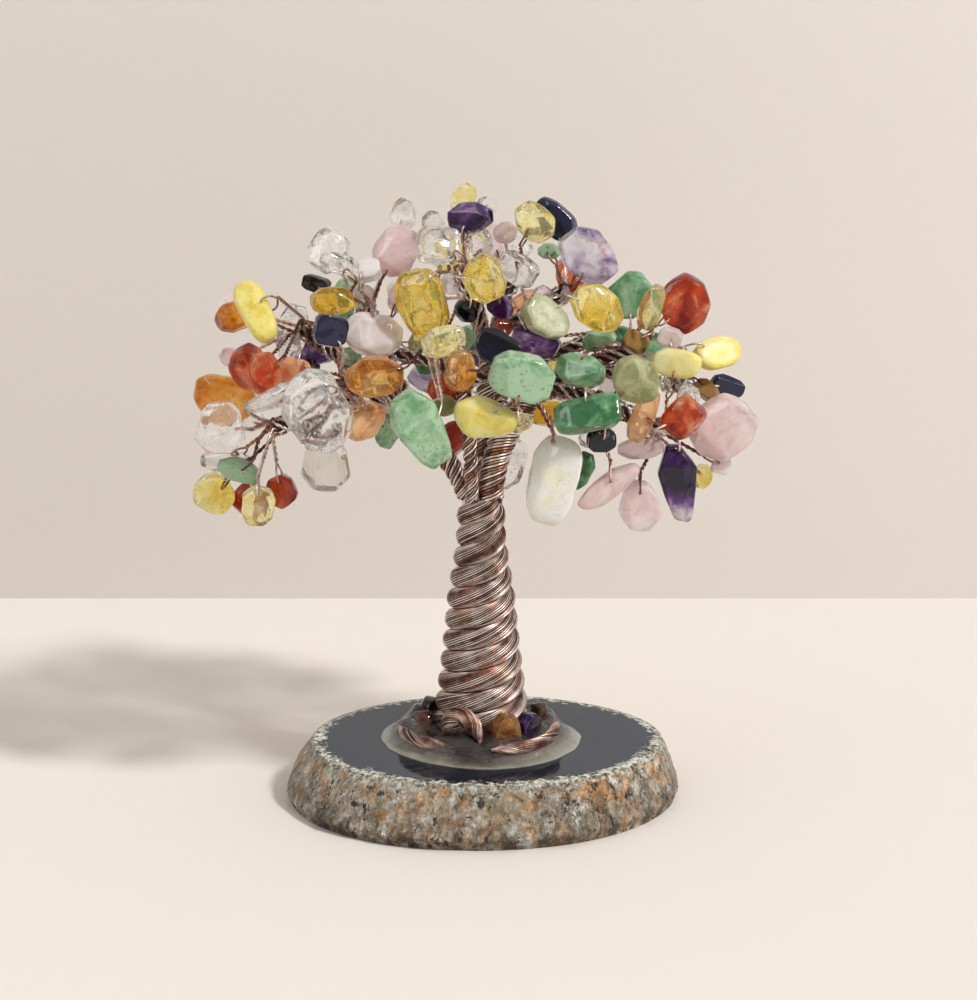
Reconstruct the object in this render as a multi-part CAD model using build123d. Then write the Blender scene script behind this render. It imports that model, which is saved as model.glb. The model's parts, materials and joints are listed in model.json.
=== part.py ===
from build123d import *
from collections import namedtuple
from itertools import combinations
from math import cos, pi, radians, sin, sqrt, tau
import os

import numpy as np

# A wire tree with leaves of tumbled gem chips, glued to a sliced stone with a polished face.
# Z is up, and the origin is the middle of the stone's flat underside. Front is -Y.
# Every chip is drilled, and carried by one doubled wire: the wire goes through the hole, its
# two legs close behind the chip, and run side by side to the bough that they are bound into.
# Boughs leave the ends of limbs, and limbs leave the top of the trunk. Two bundles of wire are
# wound round the trunk's core. All lengths are in millimetres.

# Sliced stone
SLAB_THICKNESS = 10.7
SLAB_RADIUS = 36.1
FACE_RADIUS = 31.9
FACE_SHIFT = 0.9
SLAB_SIDES = 34
# front to back over side to side, at the face's rim and at the widest radius
FACE_DEPTH_SHARE = 0.80
SLAB_DEPTH_SHARE = 0.87
SLAB_WAVE_SHARE = 0.016
SLAB_ROUGH_SHARE = 0.010
# height up the edge, and reach from the polished face's rim out to the widest radius
RIND_SHARES = ((0.0, 0.78), (0.20, 1.0), (0.54, 0.70), (0.86, 0.28), (1.0, 0.0))

# Resin that the foot is set in
RESIN_THICKNESS = 1.5
RESIN_RADIUS = 18.9
RESIN_TOP_RADIUS = 15.2
RESIN_SIDES = 26
RESIN_DEPTH_SHARE = 0.93
RESIN_WAVE_SHARE = 0.05
# height, and reach from the top's rim out to the pool's edge
RESIN_SHARES = ((0.0, 1.0), (0.45, 0.80), (0.85, 0.32), (1.0, 0.0))

# Trunk: a core with two bundles wound round it
TRUNK_HEIGHT = 42.0
TRUNK_FOOT_RADIUS = 9.2
TRUNK_WAIST_RADIUS = 4.35
# height up the trunk, and swell from the waist's radius out to the foot's
TRUNK_TAPER_SHARES = (
    (0.0, 1.0), (0.155, 0.82), (0.376, 0.59), (0.60, 0.40), (0.733, 0.225), (0.867, 0.06), (1.0, 0.0),
)
BAND_PITCH = 3.9
BAND_GAP = 0.46
BUNDLE_DEPTH = 3.0
BUNDLE_STEPS = 14
BUNDLE_SIDES = 6
# where the first bundle crosses the left side, above the trunk's foot
FIRST_BAND_RISE = 5.9
CORE_SIDES = 10
CORE_RUNS = 8
FORK_RADIUS = 4.6
FORK_FLARE = 1.5
FORK_RISE = 2.4

# Wire and how close the pieces lie
WIRE_RADIUS = 0.18
LEG_GAP = 0.10
DRILL_RADIUS = 0.32
HOLE_SIDES = 4
SWING_HOLE_SIDES = 8
DRILL_EDGE = 1.5
DRILL_WALL = 1.0
LOOP_STANDOFF = 0.14
SWING_STANDOFF = 0.45
LOOP_THROAT = 1.1
SEAT_GAP = 0.25
CHIP_GAP = 0.30
TWIG_RISE = 0.9
TWIG_BOWS = (0.0, 0.6, 1.2, 1.9, 2.7, 3.6)
BOW_SIDES = 8
BOW_ROUNDS = 4
TWIG_SIDES = 3
# how far a chip that hangs swings to each side, in degrees
SWING = 12.0

# Crown: places are shares of the reach, seen from the front with the sight tilted down
CROWN_REACH = 54.0
SIGHT_HEIGHT = 56.0
SIGHT_TILT = 15.5
EYE_DISTANCE = 700.0

# Chips: lengths and widths are shares of the span of a middling chip
CHIP_SPAN = 10.8
CHIP_THICK_SHARE = 0.56
CHIP_LEAST_THICKNESS = 2.6
CHIP_TURN = 24.0
# chips longer than these shares of the span are ground on more faces
SMALL_CHIP_SHARE = 0.6
LARGE_CHIP_SHARE = 0.9

# Easing the chips apart
EASE_ROUNDS = 150
EASE_SHARE = 0.55
SIDE_EASE_SHARE = 0.16
ROUTE_STEP = 0.9

# Flat runs and sides of the limbs and boughs, and how far a bough keeps its limb's way
LIMB_RUNS = 4
BOUGH_RUNS = 3
BOUGH_HOLD_SHARE = 0.30
LIMB_SIDES = 7

# Roots and the stones at the foot
ROOT_RADIUS = 1.05
CURL_RADIUS = 1.55
ROOT_SIDES = 6

# Limbs: start on the fork's top (across and back, as shares of its radius), radius at both ends,
# where they end (shares of the crown's reach: across, up, away from the eye), and the share of
# the way that they keep upright before they bend
Limb = namedtuple("Limb", "name start_shares start_radius end_radius end_shares upright_share")
LIMBS = (
    Limb("left", (-0.66, 0.10), 1.40, 1.95, (-0.24, 0.30, 0.02), 0.22),
    Limb("front", (-0.34, -0.64), 1.15, 1.40, (-0.06, 0.36, -0.17), 0.45),
    Limb("right", (0.37, -0.33), 2.15, 2.30, (0.15, 0.33, -0.03), 0.50),
    Limb("top", (-0.02, 0.58), 1.25, 1.75, (0.03, 0.50, 0.05), 0.45),
    Limb("back", (0.62, 0.44), 1.05, 1.75, (0.06, 0.36, 0.22), 0.45),
)

# Boughs: the limb that each leaves and where it ends
Bough = namedtuple("Bough", "name limb end_shares")
BOUGHS = (
    Bough("left_high", "left", (-0.60, 0.57, 0.02)),
    Bough("left_low", "left", (-0.69, 0.24, -0.04)),
    Bough("left_mid", "left", (-0.46, 0.40, -0.06)),
    Bough("left_top", "left", (-0.38, 0.64, 0.06)),
    Bough("front_left", "front", (-0.17, 0.50, -0.20)),
    Bough("front_mid", "front", (0.10, 0.43, -0.26)),
    Bough("top_left", "top", (-0.07, 0.76, 0.00)),
    Bough("top_right", "top", (0.10, 0.72, 0.14)),
    Bough("right_top", "top", (0.27, 0.69, 0.03)),
    Bough("right_high", "right", (0.50, 0.50, 0.06)),
    Bough("right_mid", "right", (0.37, 0.34, -0.14)),
    Bough("right_low", "right", (0.59, 0.24, -0.02)),
    Bough("right_far", "right", (0.68, 0.39, 0.14)),
    Bough("back_left", "back", (-0.36, 0.50, 0.34)),
    Bough("back_top", "back", (-0.04, 0.66, 0.34)),
    Bough("back_right", "back", (0.38, 0.54, 0.34)),
    Bough("back_low", "back", (0.04, 0.34, 0.50)),
)

# Chips of the front half: gem, bough, place (across, up, away), length, width, lean in degrees,
# taper towards the leaning end, squareness, and a name of its own for a chip that hangs and swings
Chip = namedtuple("Chip", "gem bough across up away long wide lean taper square hangs")
CHIP_SHARES = (
    ("yellow_jade", "left_high", -0.75, 0.63, -0.20, 1.33, 0.57, -60, 0.05, 0.3, None),
    ("amber", "left_high", -0.82, 0.61, -0.06, 0.67, 0.53, 20, 0.1, 0.2, None),
    ("rose_quartz", "left_high", -0.84, 0.65, 0.06, 0.43, 0.33, 60, 0.0, 0.1, None),
    ("rose_quartz", "left_high", -0.83, 0.47, 0.10, 0.43, 0.33, -30, 0.0, 0.1, None),
    ("carnelian", "left_high", -0.77, 0.44, -0.10, 0.77, 0.60, -70, 0.0, 0.2, None),
    ("carnelian", "left_high", -0.72, 0.42, -0.23, 0.73, 0.57, -80, -0.1, 0.1, None),
    ("carnelian", "left_high", -0.63, 0.42, -0.02, 0.67, 0.57, 0, 0.1, 0.3, None),
    ("clear_quartz", "left_high", -0.63, 0.56, 0.14, 1.00, 0.50, 80, 0.0, 0.2, None),
    ("amber", "left_low", -0.86, 0.34, 0.00, 1.10, 0.77, -15, -0.1, 0.2, None),
    ("clear_quartz", "left_low", -0.87, 0.24, -0.20, 0.90, 0.80, 90, 0.25, 0.2, None),
    ("clear_quartz", "left_low", -0.85, 0.13, 0.02, 0.83, 0.40, 0, 0.0, 0.2, None),
    ("aventurine", "left_low", -0.81, 0.10, -0.15, 0.77, 0.37, -18, 0.1, 0.0, None),
    ("citrine", "left_low", -0.89, 0.02, -0.08, 0.70, 0.63, -40, 0.1, 0.3, None),
    ("carnelian", "left_low", -0.78, 0.01, 0.00, 0.57, 0.43, 50, 0.0, 0.1, None),
    ("citrine", "left_low", -0.74, -0.02, -0.20, 0.68, 0.57, 80, -0.1, 0.2, "citrine_drop"),
    ("carnelian", "left_low", -0.66, 0.03, -0.10, 0.57, 0.47, -65, 0.0, 0.3, None),
    ("clear_quartz", "left_mid", -0.69, 0.34, -0.30, 1.07, 0.30, 22, -0.1, 0.2, None),
    ("clear_quartz", "left_low", -0.76, 0.26, 0.08, 0.40, 0.33, 30, 0.0, 0.2, None),
    ("clear_quartz", "left_mid", -0.54, 0.30, -0.36, 1.27, 1.07, -50, 0.1, 0.2, None),
    ("clear_quartz", "left_mid", -0.52, 0.12, 0.02, 0.90, 0.83, 90, 0.15, 0.1, "smoky_quartz_drop"),
    ("onyx", "left_mid", -0.49, 0.56, -0.25, 0.57, 0.53, -10, 0.05, 0.7, None),
    ("citrine", "left_mid", -0.49, 0.66, -0.12, 0.77, 0.50, 5, 0.0, 0.1, None),
    ("onyx", "left_mid", -0.57, 0.44, 0.00, 0.33, 0.27, 60, 0.0, 0.1, None),
    ("aventurine", "left_top", -0.44, 0.48, -0.06, 0.37, 0.27, 20, 0.0, 0.1, None),
    ("carnelian", "left_mid", -0.39, 0.26, -0.20, 0.77, 0.57, 50, 0.2, 0.1, None),
    ("aventurine", "left_mid", -0.31, 0.23, 0.12, 0.60, 0.37, 80, 0.0, 0.1, None),
    ("rose_quartz", "left_mid", -0.40, 0.32, -0.14, 0.40, 0.30, 0, 0.0, 0.1, None),
    ("clear_quartz", "left_top", -0.51, 0.83, 0.02, 0.72, 0.70, 60, 0.0, 0.0, None),
    ("clear_quartz", "left_top", -0.47, 0.79, -0.12, 0.70, 0.35, -12, 0.0, 0.1, None),
    ("onyx", "left_top", -0.55, 0.72, 0.10, 0.47, 0.27, -20, 0.0, 0.6, None),
    ("rose_quartz", "left_top", -0.39, 0.76, -0.06, 0.62, 0.45, 10, 0.0, 0.3, None),
    ("rose_quartz", "left_top", -0.28, 0.83, 0.06, 0.97, 0.77, 55, 0.1, 0.1, None),
    ("clear_quartz", "left_top", -0.26, 0.95, 0.26, 0.57, 0.40, 80, 0.1, 0.1, None),
    ("rose_quartz", "left_top", -0.39, 0.69, 0.16, 0.37, 0.30, 0, 0.0, 0.1, None),
    ("rose_quartz", "left_top", -0.35, 0.56, -0.22, 1.03, 0.77, -10, -0.1, 0.1, None),
    ("citrine", "top_left", -0.21, 0.66, -0.26, 1.17, 0.80, -80, 0.05, 0.4, None),
    ("amber", "front_left", -0.36, 0.41, -0.28, 1.05, 0.67, 5, 0.1, 0.1, None),
    ("aventurine", "front_left", -0.19, 0.24, -0.44, 1.40, 0.77, -55, 0.15, 0.3, None),
    ("carnelian", "front_left", -0.12, 0.36, -0.12, 0.60, 0.50, -60, 0.1, 0.2, None),
    ("prehnite", "front_left", -0.12, 0.32, -0.36, 0.40, 0.33, 10, 0.0, 0.1, None),
    ("amber", "front_mid", -0.07, 0.43, -0.36, 0.73, 0.50, 90, 0.1, 0.2, None),
    ("citrine", "front_mid", -0.12, 0.53, -0.36, 0.77, 0.53, 15, 0.0, 0.2, None),
    ("citrine", "top_left", -0.06, 1.00, 0.08, 0.60, 0.43, 60, 0.2, 0.2, None),
    ("amethyst", "top_left", -0.04, 0.94, -0.06, 0.75, 0.53, 5, 0.1, 0.1, None),
    ("clear_quartz", "top_left", 0.02, 0.98, 0.16, 0.35, 0.30, 0, 0.0, 0.1, None),
    ("clear_quartz", "top_left", -0.16, 0.92, 0.00, 0.43, 0.37, 90, 0.0, 0.1, None),
    ("clear_quartz", "top_left", -0.14, 0.83, -0.10, 0.70, 0.63, 0, 0.0, 0.7, None),
    ("clear_quartz", "top_left", 0.00, 0.86, 0.14, 0.47, 0.37, 90, 0.0, 0.2, None),
    ("citrine", "top_left", 0.01, 0.74, -0.20, 0.83, 0.70, -65, 0.1, 0.2, None),
    ("rose_quartz", "top_right", -0.10, 0.72, 0.16, 0.37, 0.30, 90, 0.0, 0.1, None),
    ("onyx", "top_left", -0.05, 0.63, -0.10, 0.43, 0.33, -40, 0.0, 0.2, None),
    ("rose_quartz", "top_right", 0.04, 0.86, 0.24, 0.67, 0.40, 90, 0.0, 0.1, None),
    ("rose_quartz", "top_right", 0.08, 0.89, 0.10, 0.43, 0.37, 40, 0.0, 0.1, None),
    ("citrine", "top_right", 0.16, 0.90, -0.03, 0.73, 0.63, -50, 0.0, 0.1, None),
    ("clear_quartz", "top_right", 0.14, 0.79, -0.05, 0.70, 0.53, -30, 0.0, 0.4, None),
    ("carnelian", "front_mid", 0.07, 0.57, -0.12, 0.35, 0.28, 30, 0.0, 0.1, None),
    ("amethyst", "top_right", 0.12, 0.66, -0.04, 0.50, 0.37, -50, 0.0, 0.1, None),
    ("amethyst", "top_right", 0.15, 0.53, -0.12, 0.87, 0.57, -20, 0.0, 0.1, None),
    ("onyx", "front_mid", 0.03, 0.49, -0.36, 0.77, 0.60, -30, 0.1, 0.3, None),
    ("aventurine", "front_mid", 0.13, 0.39, -0.46, 1.08, 0.73, -15, -0.05, 0.3, None),
    ("yellow_jade", "front_mid", 0.02, 0.29, -0.46, 1.13, 0.70, -12, 0.25, 0.2, None),
    ("citrine", "front_mid", 0.14, 0.26, -0.30, 0.37, 0.27, 10, 0.0, 0.1, None),
    ("yellow_jade", "front_mid", 0.24, 0.07, -0.34, 1.63, 0.87, 78, 0.0, 0.3, "pale_jade_drop"),
    ("aventurine", "front_mid", 0.33, 0.10, -0.14, 0.70, 0.40, 60, -0.1, 0.2, None),
    ("onyx", "right_top", 0.25, 0.93, 0.14, 0.95, 0.50, -52, -0.1, 0.1, None),
    ("amethyst", "right_top", 0.36, 0.81, -0.06, 1.07, 0.83, -45, 0.1, 0.2, None),
    ("aventurine", "right_top", 0.23, 0.83, 0.14, 0.35, 0.28, 0, 0.0, 0.1, None),
    ("prehnite", "right_top", 0.21, 0.60, -0.16, 0.87, 0.67, -35, 0.1, 0.1, None),
    ("clear_quartz", "right_top", 0.20, 0.67, -0.02, 0.47, 0.37, 60, 0.1, 0.1, None),
    ("rose_quartz", "right_top", 0.26, 0.67, 0.18, 0.35, 0.28, 0, 0.0, 0.1, None),
    ("citrine", "right_top", 0.39, 0.64, -0.16, 0.97, 0.73, -35, 0.0, 0.1, None),
    ("aventurine", "right_high", 0.51, 0.68, 0.06, 0.83, 0.70, 40, 0.0, 0.2, None),
    ("carnelian", "right_high", 0.67, 0.66, 0.08, 0.98, 0.90, -70, 0.0, 0.0, None),
    ("citrine", "right_high", 0.57, 0.63, -0.12, 0.93, 0.40, 62, 0.1, 0.1, None),
    ("tiger_eye", "right_high", 0.51, 0.53, -0.15, 0.47, 0.37, -30, 0.0, 0.4, None),
    ("rose_quartz", "right_far", 0.63, 0.54, 0.04, 0.43, 0.33, -20, 0.0, 0.5, None),
    ("yellow_jade", "right_far", 0.65, 0.46, -0.14, 0.90, 0.50, -8, 0.0, 0.4, None),
    ("yellow_jade", "right_high", 0.79, 0.49, 0.00, 0.90, 0.60, 15, 0.0, 0.3, None),
    ("aventurine", "right_high", 0.47, 0.55, 0.20, 0.37, 0.30, 0, 0.0, 0.1, None),
    ("aventurine", "right_high", 0.40, 0.52, 0.06, 0.60, 0.35, 20, 0.1, 0.2, None),
    ("aventurine", "right_high", 0.33, 0.42, -0.18, 0.95, 0.57, -12, 0.0, 0.1, None),
    ("prehnite", "right_mid", 0.52, 0.40, -0.27, 0.83, 0.80, -60, 0.0, 0.0, None),
    ("aventurine", "right_mid", 0.35, 0.29, -0.43, 1.17, 0.57, 10, 0.0, 0.6, None),
    ("clear_quartz", "right_mid", 0.36, 0.21, -0.10, 0.37, 0.33, 60, 0.0, 0.1, None),
    ("onyx", "right_mid", 0.41, 0.18, -0.20, 0.50, 0.40, 0, 0.0, 0.2, None),
    ("rose_quartz", "right_mid", 0.42, 0.06, -0.20, 1.30, 0.40, 36, 0.0, 0.1, "rose_quartz_shard"),
    ("carnelian", "right_low", 0.55, 0.27, -0.18, 0.97, 0.40, 65, 0.05, 0.3, None),
    ("carnelian", "right_low", 0.66, 0.27, -0.26, 0.70, 0.60, 45, 0.0, 0.7, None),
    ("rose_quartz", "right_low", 0.80, 0.24, -0.04, 1.20, 1.03, 30, 0.0, 0.1, None),
    ("rose_quartz", "right_low", 0.80, 0.12, 0.06, 0.35, 0.28, -15, 0.0, 0.5, None),
    ("rose_quartz", "right_low", 0.60, 0.24, 0.12, 0.37, 0.30, 0, 0.0, 0.1, None),
    ("rose_quartz", "right_low", 0.54, 0.18, -0.10, 0.83, 0.37, 0, 0.0, 0.1, None),
    ("amethyst", "right_low", 0.66, 0.07, -0.06, 1.40, 0.63, -82, 0.2, 0.1, "amethyst_point"),
    ("citrine", "right_low", 0.74, 0.08, 0.10, 0.43, 0.33, 80, 0.0, 0.1, None),
    ("rose_quartz", "right_low", 0.53, -0.02, -0.12, 0.87, 0.67, 90, 0.3, 0.1, "rose_quartz_drop"),
    ("onyx", "right_far", 0.82, 0.38, 0.14, 0.63, 0.37, -20, 0.0, 0.2, None),
    ("tiger_eye", "right_far", 0.75, 0.36, -0.03, 0.47, 0.30, -35, 0.0, 0.2, None),
    ("clear_quartz", "right_low", 0.66, 0.39, 0.02, 0.47, 0.37, 20, 0.0, 0.2, None),
    ("clear_quartz", "right_far", 0.69, 0.34, -0.14, 0.43, 0.37, 60, 0.0, 0.2, None),
)

# Chips of the back half stand round their bough's end, gem after gem
BACK_GEMS = ("citrine", "rose_quartz", "aventurine", "amethyst", "carnelian", "clear_quartz")
BACK_SPREAD_SHARE = 0.20
BACK_TURN = 2.0
BACK_LONG_SHARE = 0.78
BACK_WIDE_SHARE = 0.56

# Stones at the foot: gem, bearing in degrees from +X, length, width, lean, as shares of a chip's span
FOOT_STONE_SHARES = (
    ("amber", -67.0, 0.60, 0.50, 80.0),
    ("amethyst", -40.0, 0.52, 0.42, 85.0),
    ("amber", 12.0, 0.46, 0.36, 20.0),
    ("amber", -168.0, 0.44, 0.40, 30.0),
    ("amber", 150.0, 0.50, 0.40, 10.0),
    ("amethyst", 96.0, 0.48, 0.42, 70.0),
    ("amber", 60.0, 0.46, 0.40, 45.0),
)

# Roots, as shares of the trunk's foot radius: across, back, and height over the resin
ROOT_LEFT_SHARES = ((-0.61, -1.34, 0.13), (-1.02, -1.16, 0.13), (-1.40, -0.74, 0.13), (-1.62, -0.15, 0.13))
ROOT_RIGHT_SHARES = ((0.20, -1.56, 0.13), (0.84, -1.40, 0.14), (1.34, -0.92, 0.18), (1.52, -0.20, 0.26))
ROOT_CURL_SHARES = (
    (-0.72, -1.06, 0.26), (-0.64, -1.12, 0.55), (-0.43, -1.19, 0.72),
    (-0.19, -1.25, 0.58), (-0.05, -1.30, 0.32), (-0.02, -1.33, 0.19),
)

X_AXIS = np.array((1.0, 0.0, 0.0))
Y_AXIS = np.array((0.0, 1.0, 0.0))
Z_AXIS = np.array((0.0, 0.0, 1.0))
SIGHT_UP = np.array((0.0, sin(radians(SIGHT_TILT)), cos(radians(SIGHT_TILT))))
SIGHT_AWAY = np.array((0.0, cos(radians(SIGHT_TILT)), -sin(radians(SIGHT_TILT))))
RESIN_TOP = SLAB_THICKNESS + RESIN_THICKNESS
FORK_HEIGHT = RESIN_TOP + TRUNK_HEIGHT + FORK_RISE
LEG_OFFSET = WIRE_RADIUS + LEG_GAP / 2
LEAD = 2 * BAND_PITCH


def unit(vector):
    """The vector made one long."""
    return vector / np.linalg.norm(vector)


def chance(*seeds):
    """A number from -1 to 1 that looks like chance but is the same on every run."""
    value = sin(sum(seed * step for seed, step in zip(seeds, (12.9898, 78.233, 37.719)))) * 43758.5453
    return 2 * (value - np.floor(value)) - 1


def crown_place(across, up, away):
    """A point of the crown from its shares, along the line of sight from the eye."""
    away = away * CROWN_REACH
    spread = CROWN_REACH * (1 + away / EYE_DISTANCE)
    return SIGHT_HEIGHT * Z_AXIS + spread * (across * X_AXIS + up * SIGHT_UP) + away * SIGHT_AWAY


def faceted(polygons):
    """A solid from its flat faces, each a list of corners."""
    return Solid(Shell([Face(Wire.make_polygon([Vector(*p) for p in polygon], close=True)) for polygon in polygons]))


def ringed(rings):
    """A solid from rings of corners, one over another, with flat ends and two flat facets a side."""
    polygons = [rings[0][::-1], rings[-1]]
    count = len(rings[0])
    for low, high in zip(rings[:-1], rings[1:]):
        for i in range(count):
            j = (i + 1) % count
            polygons += [(low[i], low[j], high[j]), (low[i], high[j], high[i])]
    return faceted(polygons)


def bend_rings(route, radii, sides, start_way=None, depth_shares=None):
    """Rings of corners along a route. Each ring lies in the plane that halves the bend."""
    route = [np.asarray(point, float) for point in route]
    ways = [unit(b - a) for a, b in zip(route[:-1], route[1:])]
    side = np.cross(ways[0], Z_AXIS)
    side = unit(side if np.linalg.norm(side) > 0.1 else np.cross(ways[0], X_AXIS))
    rings = []
    for i, (point, radius) in enumerate(zip(route, radii)):
        before, after = ways[max(i - 1, 0)], ways[min(i, len(ways) - 1)]
        normal = unit(before + after)
        if i == 0 and start_way is not None:
            normal = start_way
        side = unit(side - side.dot(after) * after)
        other = np.cross(after, side)
        ring = []
        for k in range(sides):
            angle = tau * (k + 0.5) / sides
            spoke = radius * (cos(angle) * side + sin(angle) * other)
            ring.append(point + spoke - after * (spoke.dot(normal) / after.dot(normal)))
        rings.append(ring)
    return rings


def wave(angle, seed):
    """A slow uneven swell round a ring, from about -1 to 1."""
    return 0.5 * sin(2 * angle + seed) + 0.3 * sin(3 * angle + 2.1 * seed) + 0.2 * sin(5 * angle + 0.7 * seed)


def slab():
    """The sliced stone: a flat foot, a rough sloping rind and a flat polished face."""
    rings = []
    for row, (height, reach) in enumerate(RIND_SHARES):
        ring = []
        for i in range(SLAB_SIDES):
            angle = tau * i / SLAB_SIDES
            rough = SLAB_ROUGH_SHARE * chance(i, row) * (0 < row < len(RIND_SHARES) - 1)
            radius = FACE_RADIUS + reach * (SLAB_RADIUS - FACE_RADIUS)
            radius *= 1 + SLAB_WAVE_SHARE * wave(angle, 0.8) + rough
            depth = FACE_DEPTH_SHARE + reach * (SLAB_DEPTH_SHARE - FACE_DEPTH_SHARE)
            across = radius * cos(angle) + height * FACE_SHIFT
            ring.append((across, depth * radius * sin(angle), height * SLAB_THICKNESS))
        rings.append(ring)
    return ringed(rings)


def resin():
    """The pool of set resin, with a level top that the trunk stands on."""
    rings = []
    for height, reach in RESIN_SHARES:
        ring = []
        for i in range(RESIN_SIDES):
            angle = tau * i / RESIN_SIDES
            radius = RESIN_TOP_RADIUS + reach * (RESIN_RADIUS - RESIN_TOP_RADIUS)
            radius *= 1 + RESIN_WAVE_SHARE * wave(angle, 2.9) * reach
            back = RESIN_DEPTH_SHARE * radius * sin(angle)
            ring.append((radius * cos(angle), back, SLAB_THICKNESS + height * RESIN_THICKNESS))
        rings.append(ring)
    return ringed(rings)


def trunk_radius(height):
    """The trunk's outer radius at a height over the resin."""
    heights, swells = zip(*TRUNK_TAPER_SHARES)
    swell = np.interp(height / TRUNK_HEIGHT, heights, swells)
    return TRUNK_WAIST_RADIUS + swell * (TRUNK_FOOT_RADIUS - TRUNK_WAIST_RADIUS)


def bundle_rings(left_rise):
    """Rings of corners of one bundle, wound up the trunk and rising to the right at the front."""
    first, last = BAND_PITCH / 2, TRUNK_HEIGHT - BAND_PITCH / 2
    steps = int((last - first) / LEAD * BUNDLE_STEPS)
    rings = []
    for i in range(steps + 1):
        height = first + (last - first) * i / steps
        turn = pi + tau * (height - left_rise) / LEAD
        radius = trunk_radius(height) - BUNDLE_DEPTH / 2
        out = np.array((cos(turn), sin(turn), 0.0))
        climb = np.arctan2(LEAD, tau * radius)
        across = np.array((sin(turn) * sin(climb), -cos(turn) * sin(climb), cos(climb)))
        middle = radius * out + (RESIN_TOP + height) * Z_AXIS
        half_width = (BAND_PITCH * cos(climb) - BAND_GAP) / 2
        ring = []
        for k in range(BUNDLE_SIDES):
            angle = tau * k / BUNDLE_SIDES
            ring.append(middle - BUNDLE_DEPTH / 2 * cos(angle) * out + half_width * sin(angle) * across)
        rings.append(ring)
    return rings


def least_gap(first_rings, second_rings, skip):
    """The least distance between corners of two wound tubes, leaving out rings nearer than skip steps."""
    first, second = np.array(first_rings), np.array(second_rings)
    least = np.inf
    for i, ring in enumerate(first):
        far = np.abs(np.arange(len(second)) - i) >= skip
        others = second[far].reshape(-1, 3)
        if len(others):
            least = min(least, np.linalg.norm(ring[:, None] - others[None], axis=2).min())
    return least


def core():
    """The bound wires inside the bundles, which swell above them into the fork."""
    sagitta = 1 - cos(pi / BUNDLE_STEPS)
    rings = []
    top = TRUNK_HEIGHT - BAND_GAP
    levels = [(top * i / CORE_RUNS, None) for i in range(CORE_RUNS + 1)]
    levels += [(TRUNK_HEIGHT + FORK_FLARE, FORK_RADIUS), (TRUNK_HEIGHT + FORK_RISE, FORK_RADIUS)]
    for height, radius in levels:
        if radius is None:
            middle = trunk_radius(height) - BUNDLE_DEPTH / 2
            radius = middle * (1 - sagitta) - BUNDLE_DEPTH / 2 - SEAT_GAP
        ring = []
        for i in range(CORE_SIDES):
            angle = tau * i / CORE_SIDES
            ring.append((radius * cos(angle), radius * sin(angle), RESIN_TOP + height))
        rings.append(ring)
    return ringed(rings)


def arc_route(start, way, end, hold_share, runs):
    """A route that leaves start along way and bends to end, as points of one smooth curve."""
    span = np.linalg.norm(end - start)
    hold = start + way * span * hold_share
    route = []
    for i in range(runs + 1):
        t = i / runs
        route.append((1 - t) ** 2 * start + 2 * t * (1 - t) * hold + t * t * end)
    return route


def limb_routes():
    """Each limb's route, from the fork's top to where its boughs leave."""
    routes = {}
    for limb in LIMBS:
        start = FORK_HEIGHT * Z_AXIS + FORK_RADIUS * (limb.start_shares[0] * X_AXIS + limb.start_shares[1] * Y_AXIS)
        routes[limb.name] = arc_route(start, Z_AXIS, crown_place(*limb.end_shares), limb.upright_share, LIMB_RUNS)
    return routes


def slot_order(middle, way, targets):
    """Slots round a cut end, in the order of the targets' bearings about it."""
    side = unit(np.cross(way, Y_AXIS if abs(way[1]) < 0.9 else X_AXIS))
    other = np.cross(way, side)
    bearings = np.array([np.arctan2((t - middle).dot(other), (t - middle).dot(side)) for t in targets])
    order = np.argsort(bearings)
    even = tau * np.arange(len(targets)) / len(targets)
    start = np.angle(np.exp(1j * (bearings[order] - even)).mean())
    outs = [None] * len(targets)
    for place, which in enumerate(order):
        outs[which] = cos(even[place] + start) * side + sin(even[place] + start) * other
    return outs


def bough_end_radius(twigs):
    """The radius of a bough's cut end that seats this many doubled wires."""
    return twig_circle(twigs) + LEG_OFFSET + WIRE_RADIUS + LEG_GAP


def twig_circle(twigs):
    """The radius of the circle that doubled wires stand on at a bough's end."""
    inner = max(twigs, 4) * (2 * WIRE_RADIUS + LEG_GAP) / tau
    return inner + LEG_OFFSET


def bough_routes(limb_ways, twigs):
    """Each bough's route and radii, from its limb's cut end to the twigs."""
    made = {}
    for limb in LIMBS:
        own = [bough for bough in BOUGHS if bough.limb == limb.name]
        end, way = limb_ways[limb.name][-1], unit(limb_ways[limb.name][-1] - limb_ways[limb.name][-2])
        targets = [crown_place(*bough.end_shares) for bough in own]
        outs = slot_order(end, way, targets)
        start_radius = limb.end_radius * sin(pi / len(own)) / (1 + sin(pi / len(own))) - SEAT_GAP / 2
        for bough, target, out in zip(own, targets, outs):
            start = end + out * (limb.end_radius - start_radius - SEAT_GAP / 2)
            route = arc_route(start, way, target, BOUGH_HOLD_SHARE, BOUGH_RUNS)
            end_radius = bough_end_radius(twigs[bough.name])
            radii = np.linspace(start_radius, end_radius, len(route))
            made[bough.name] = (route, radii, way)
    return made


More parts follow.
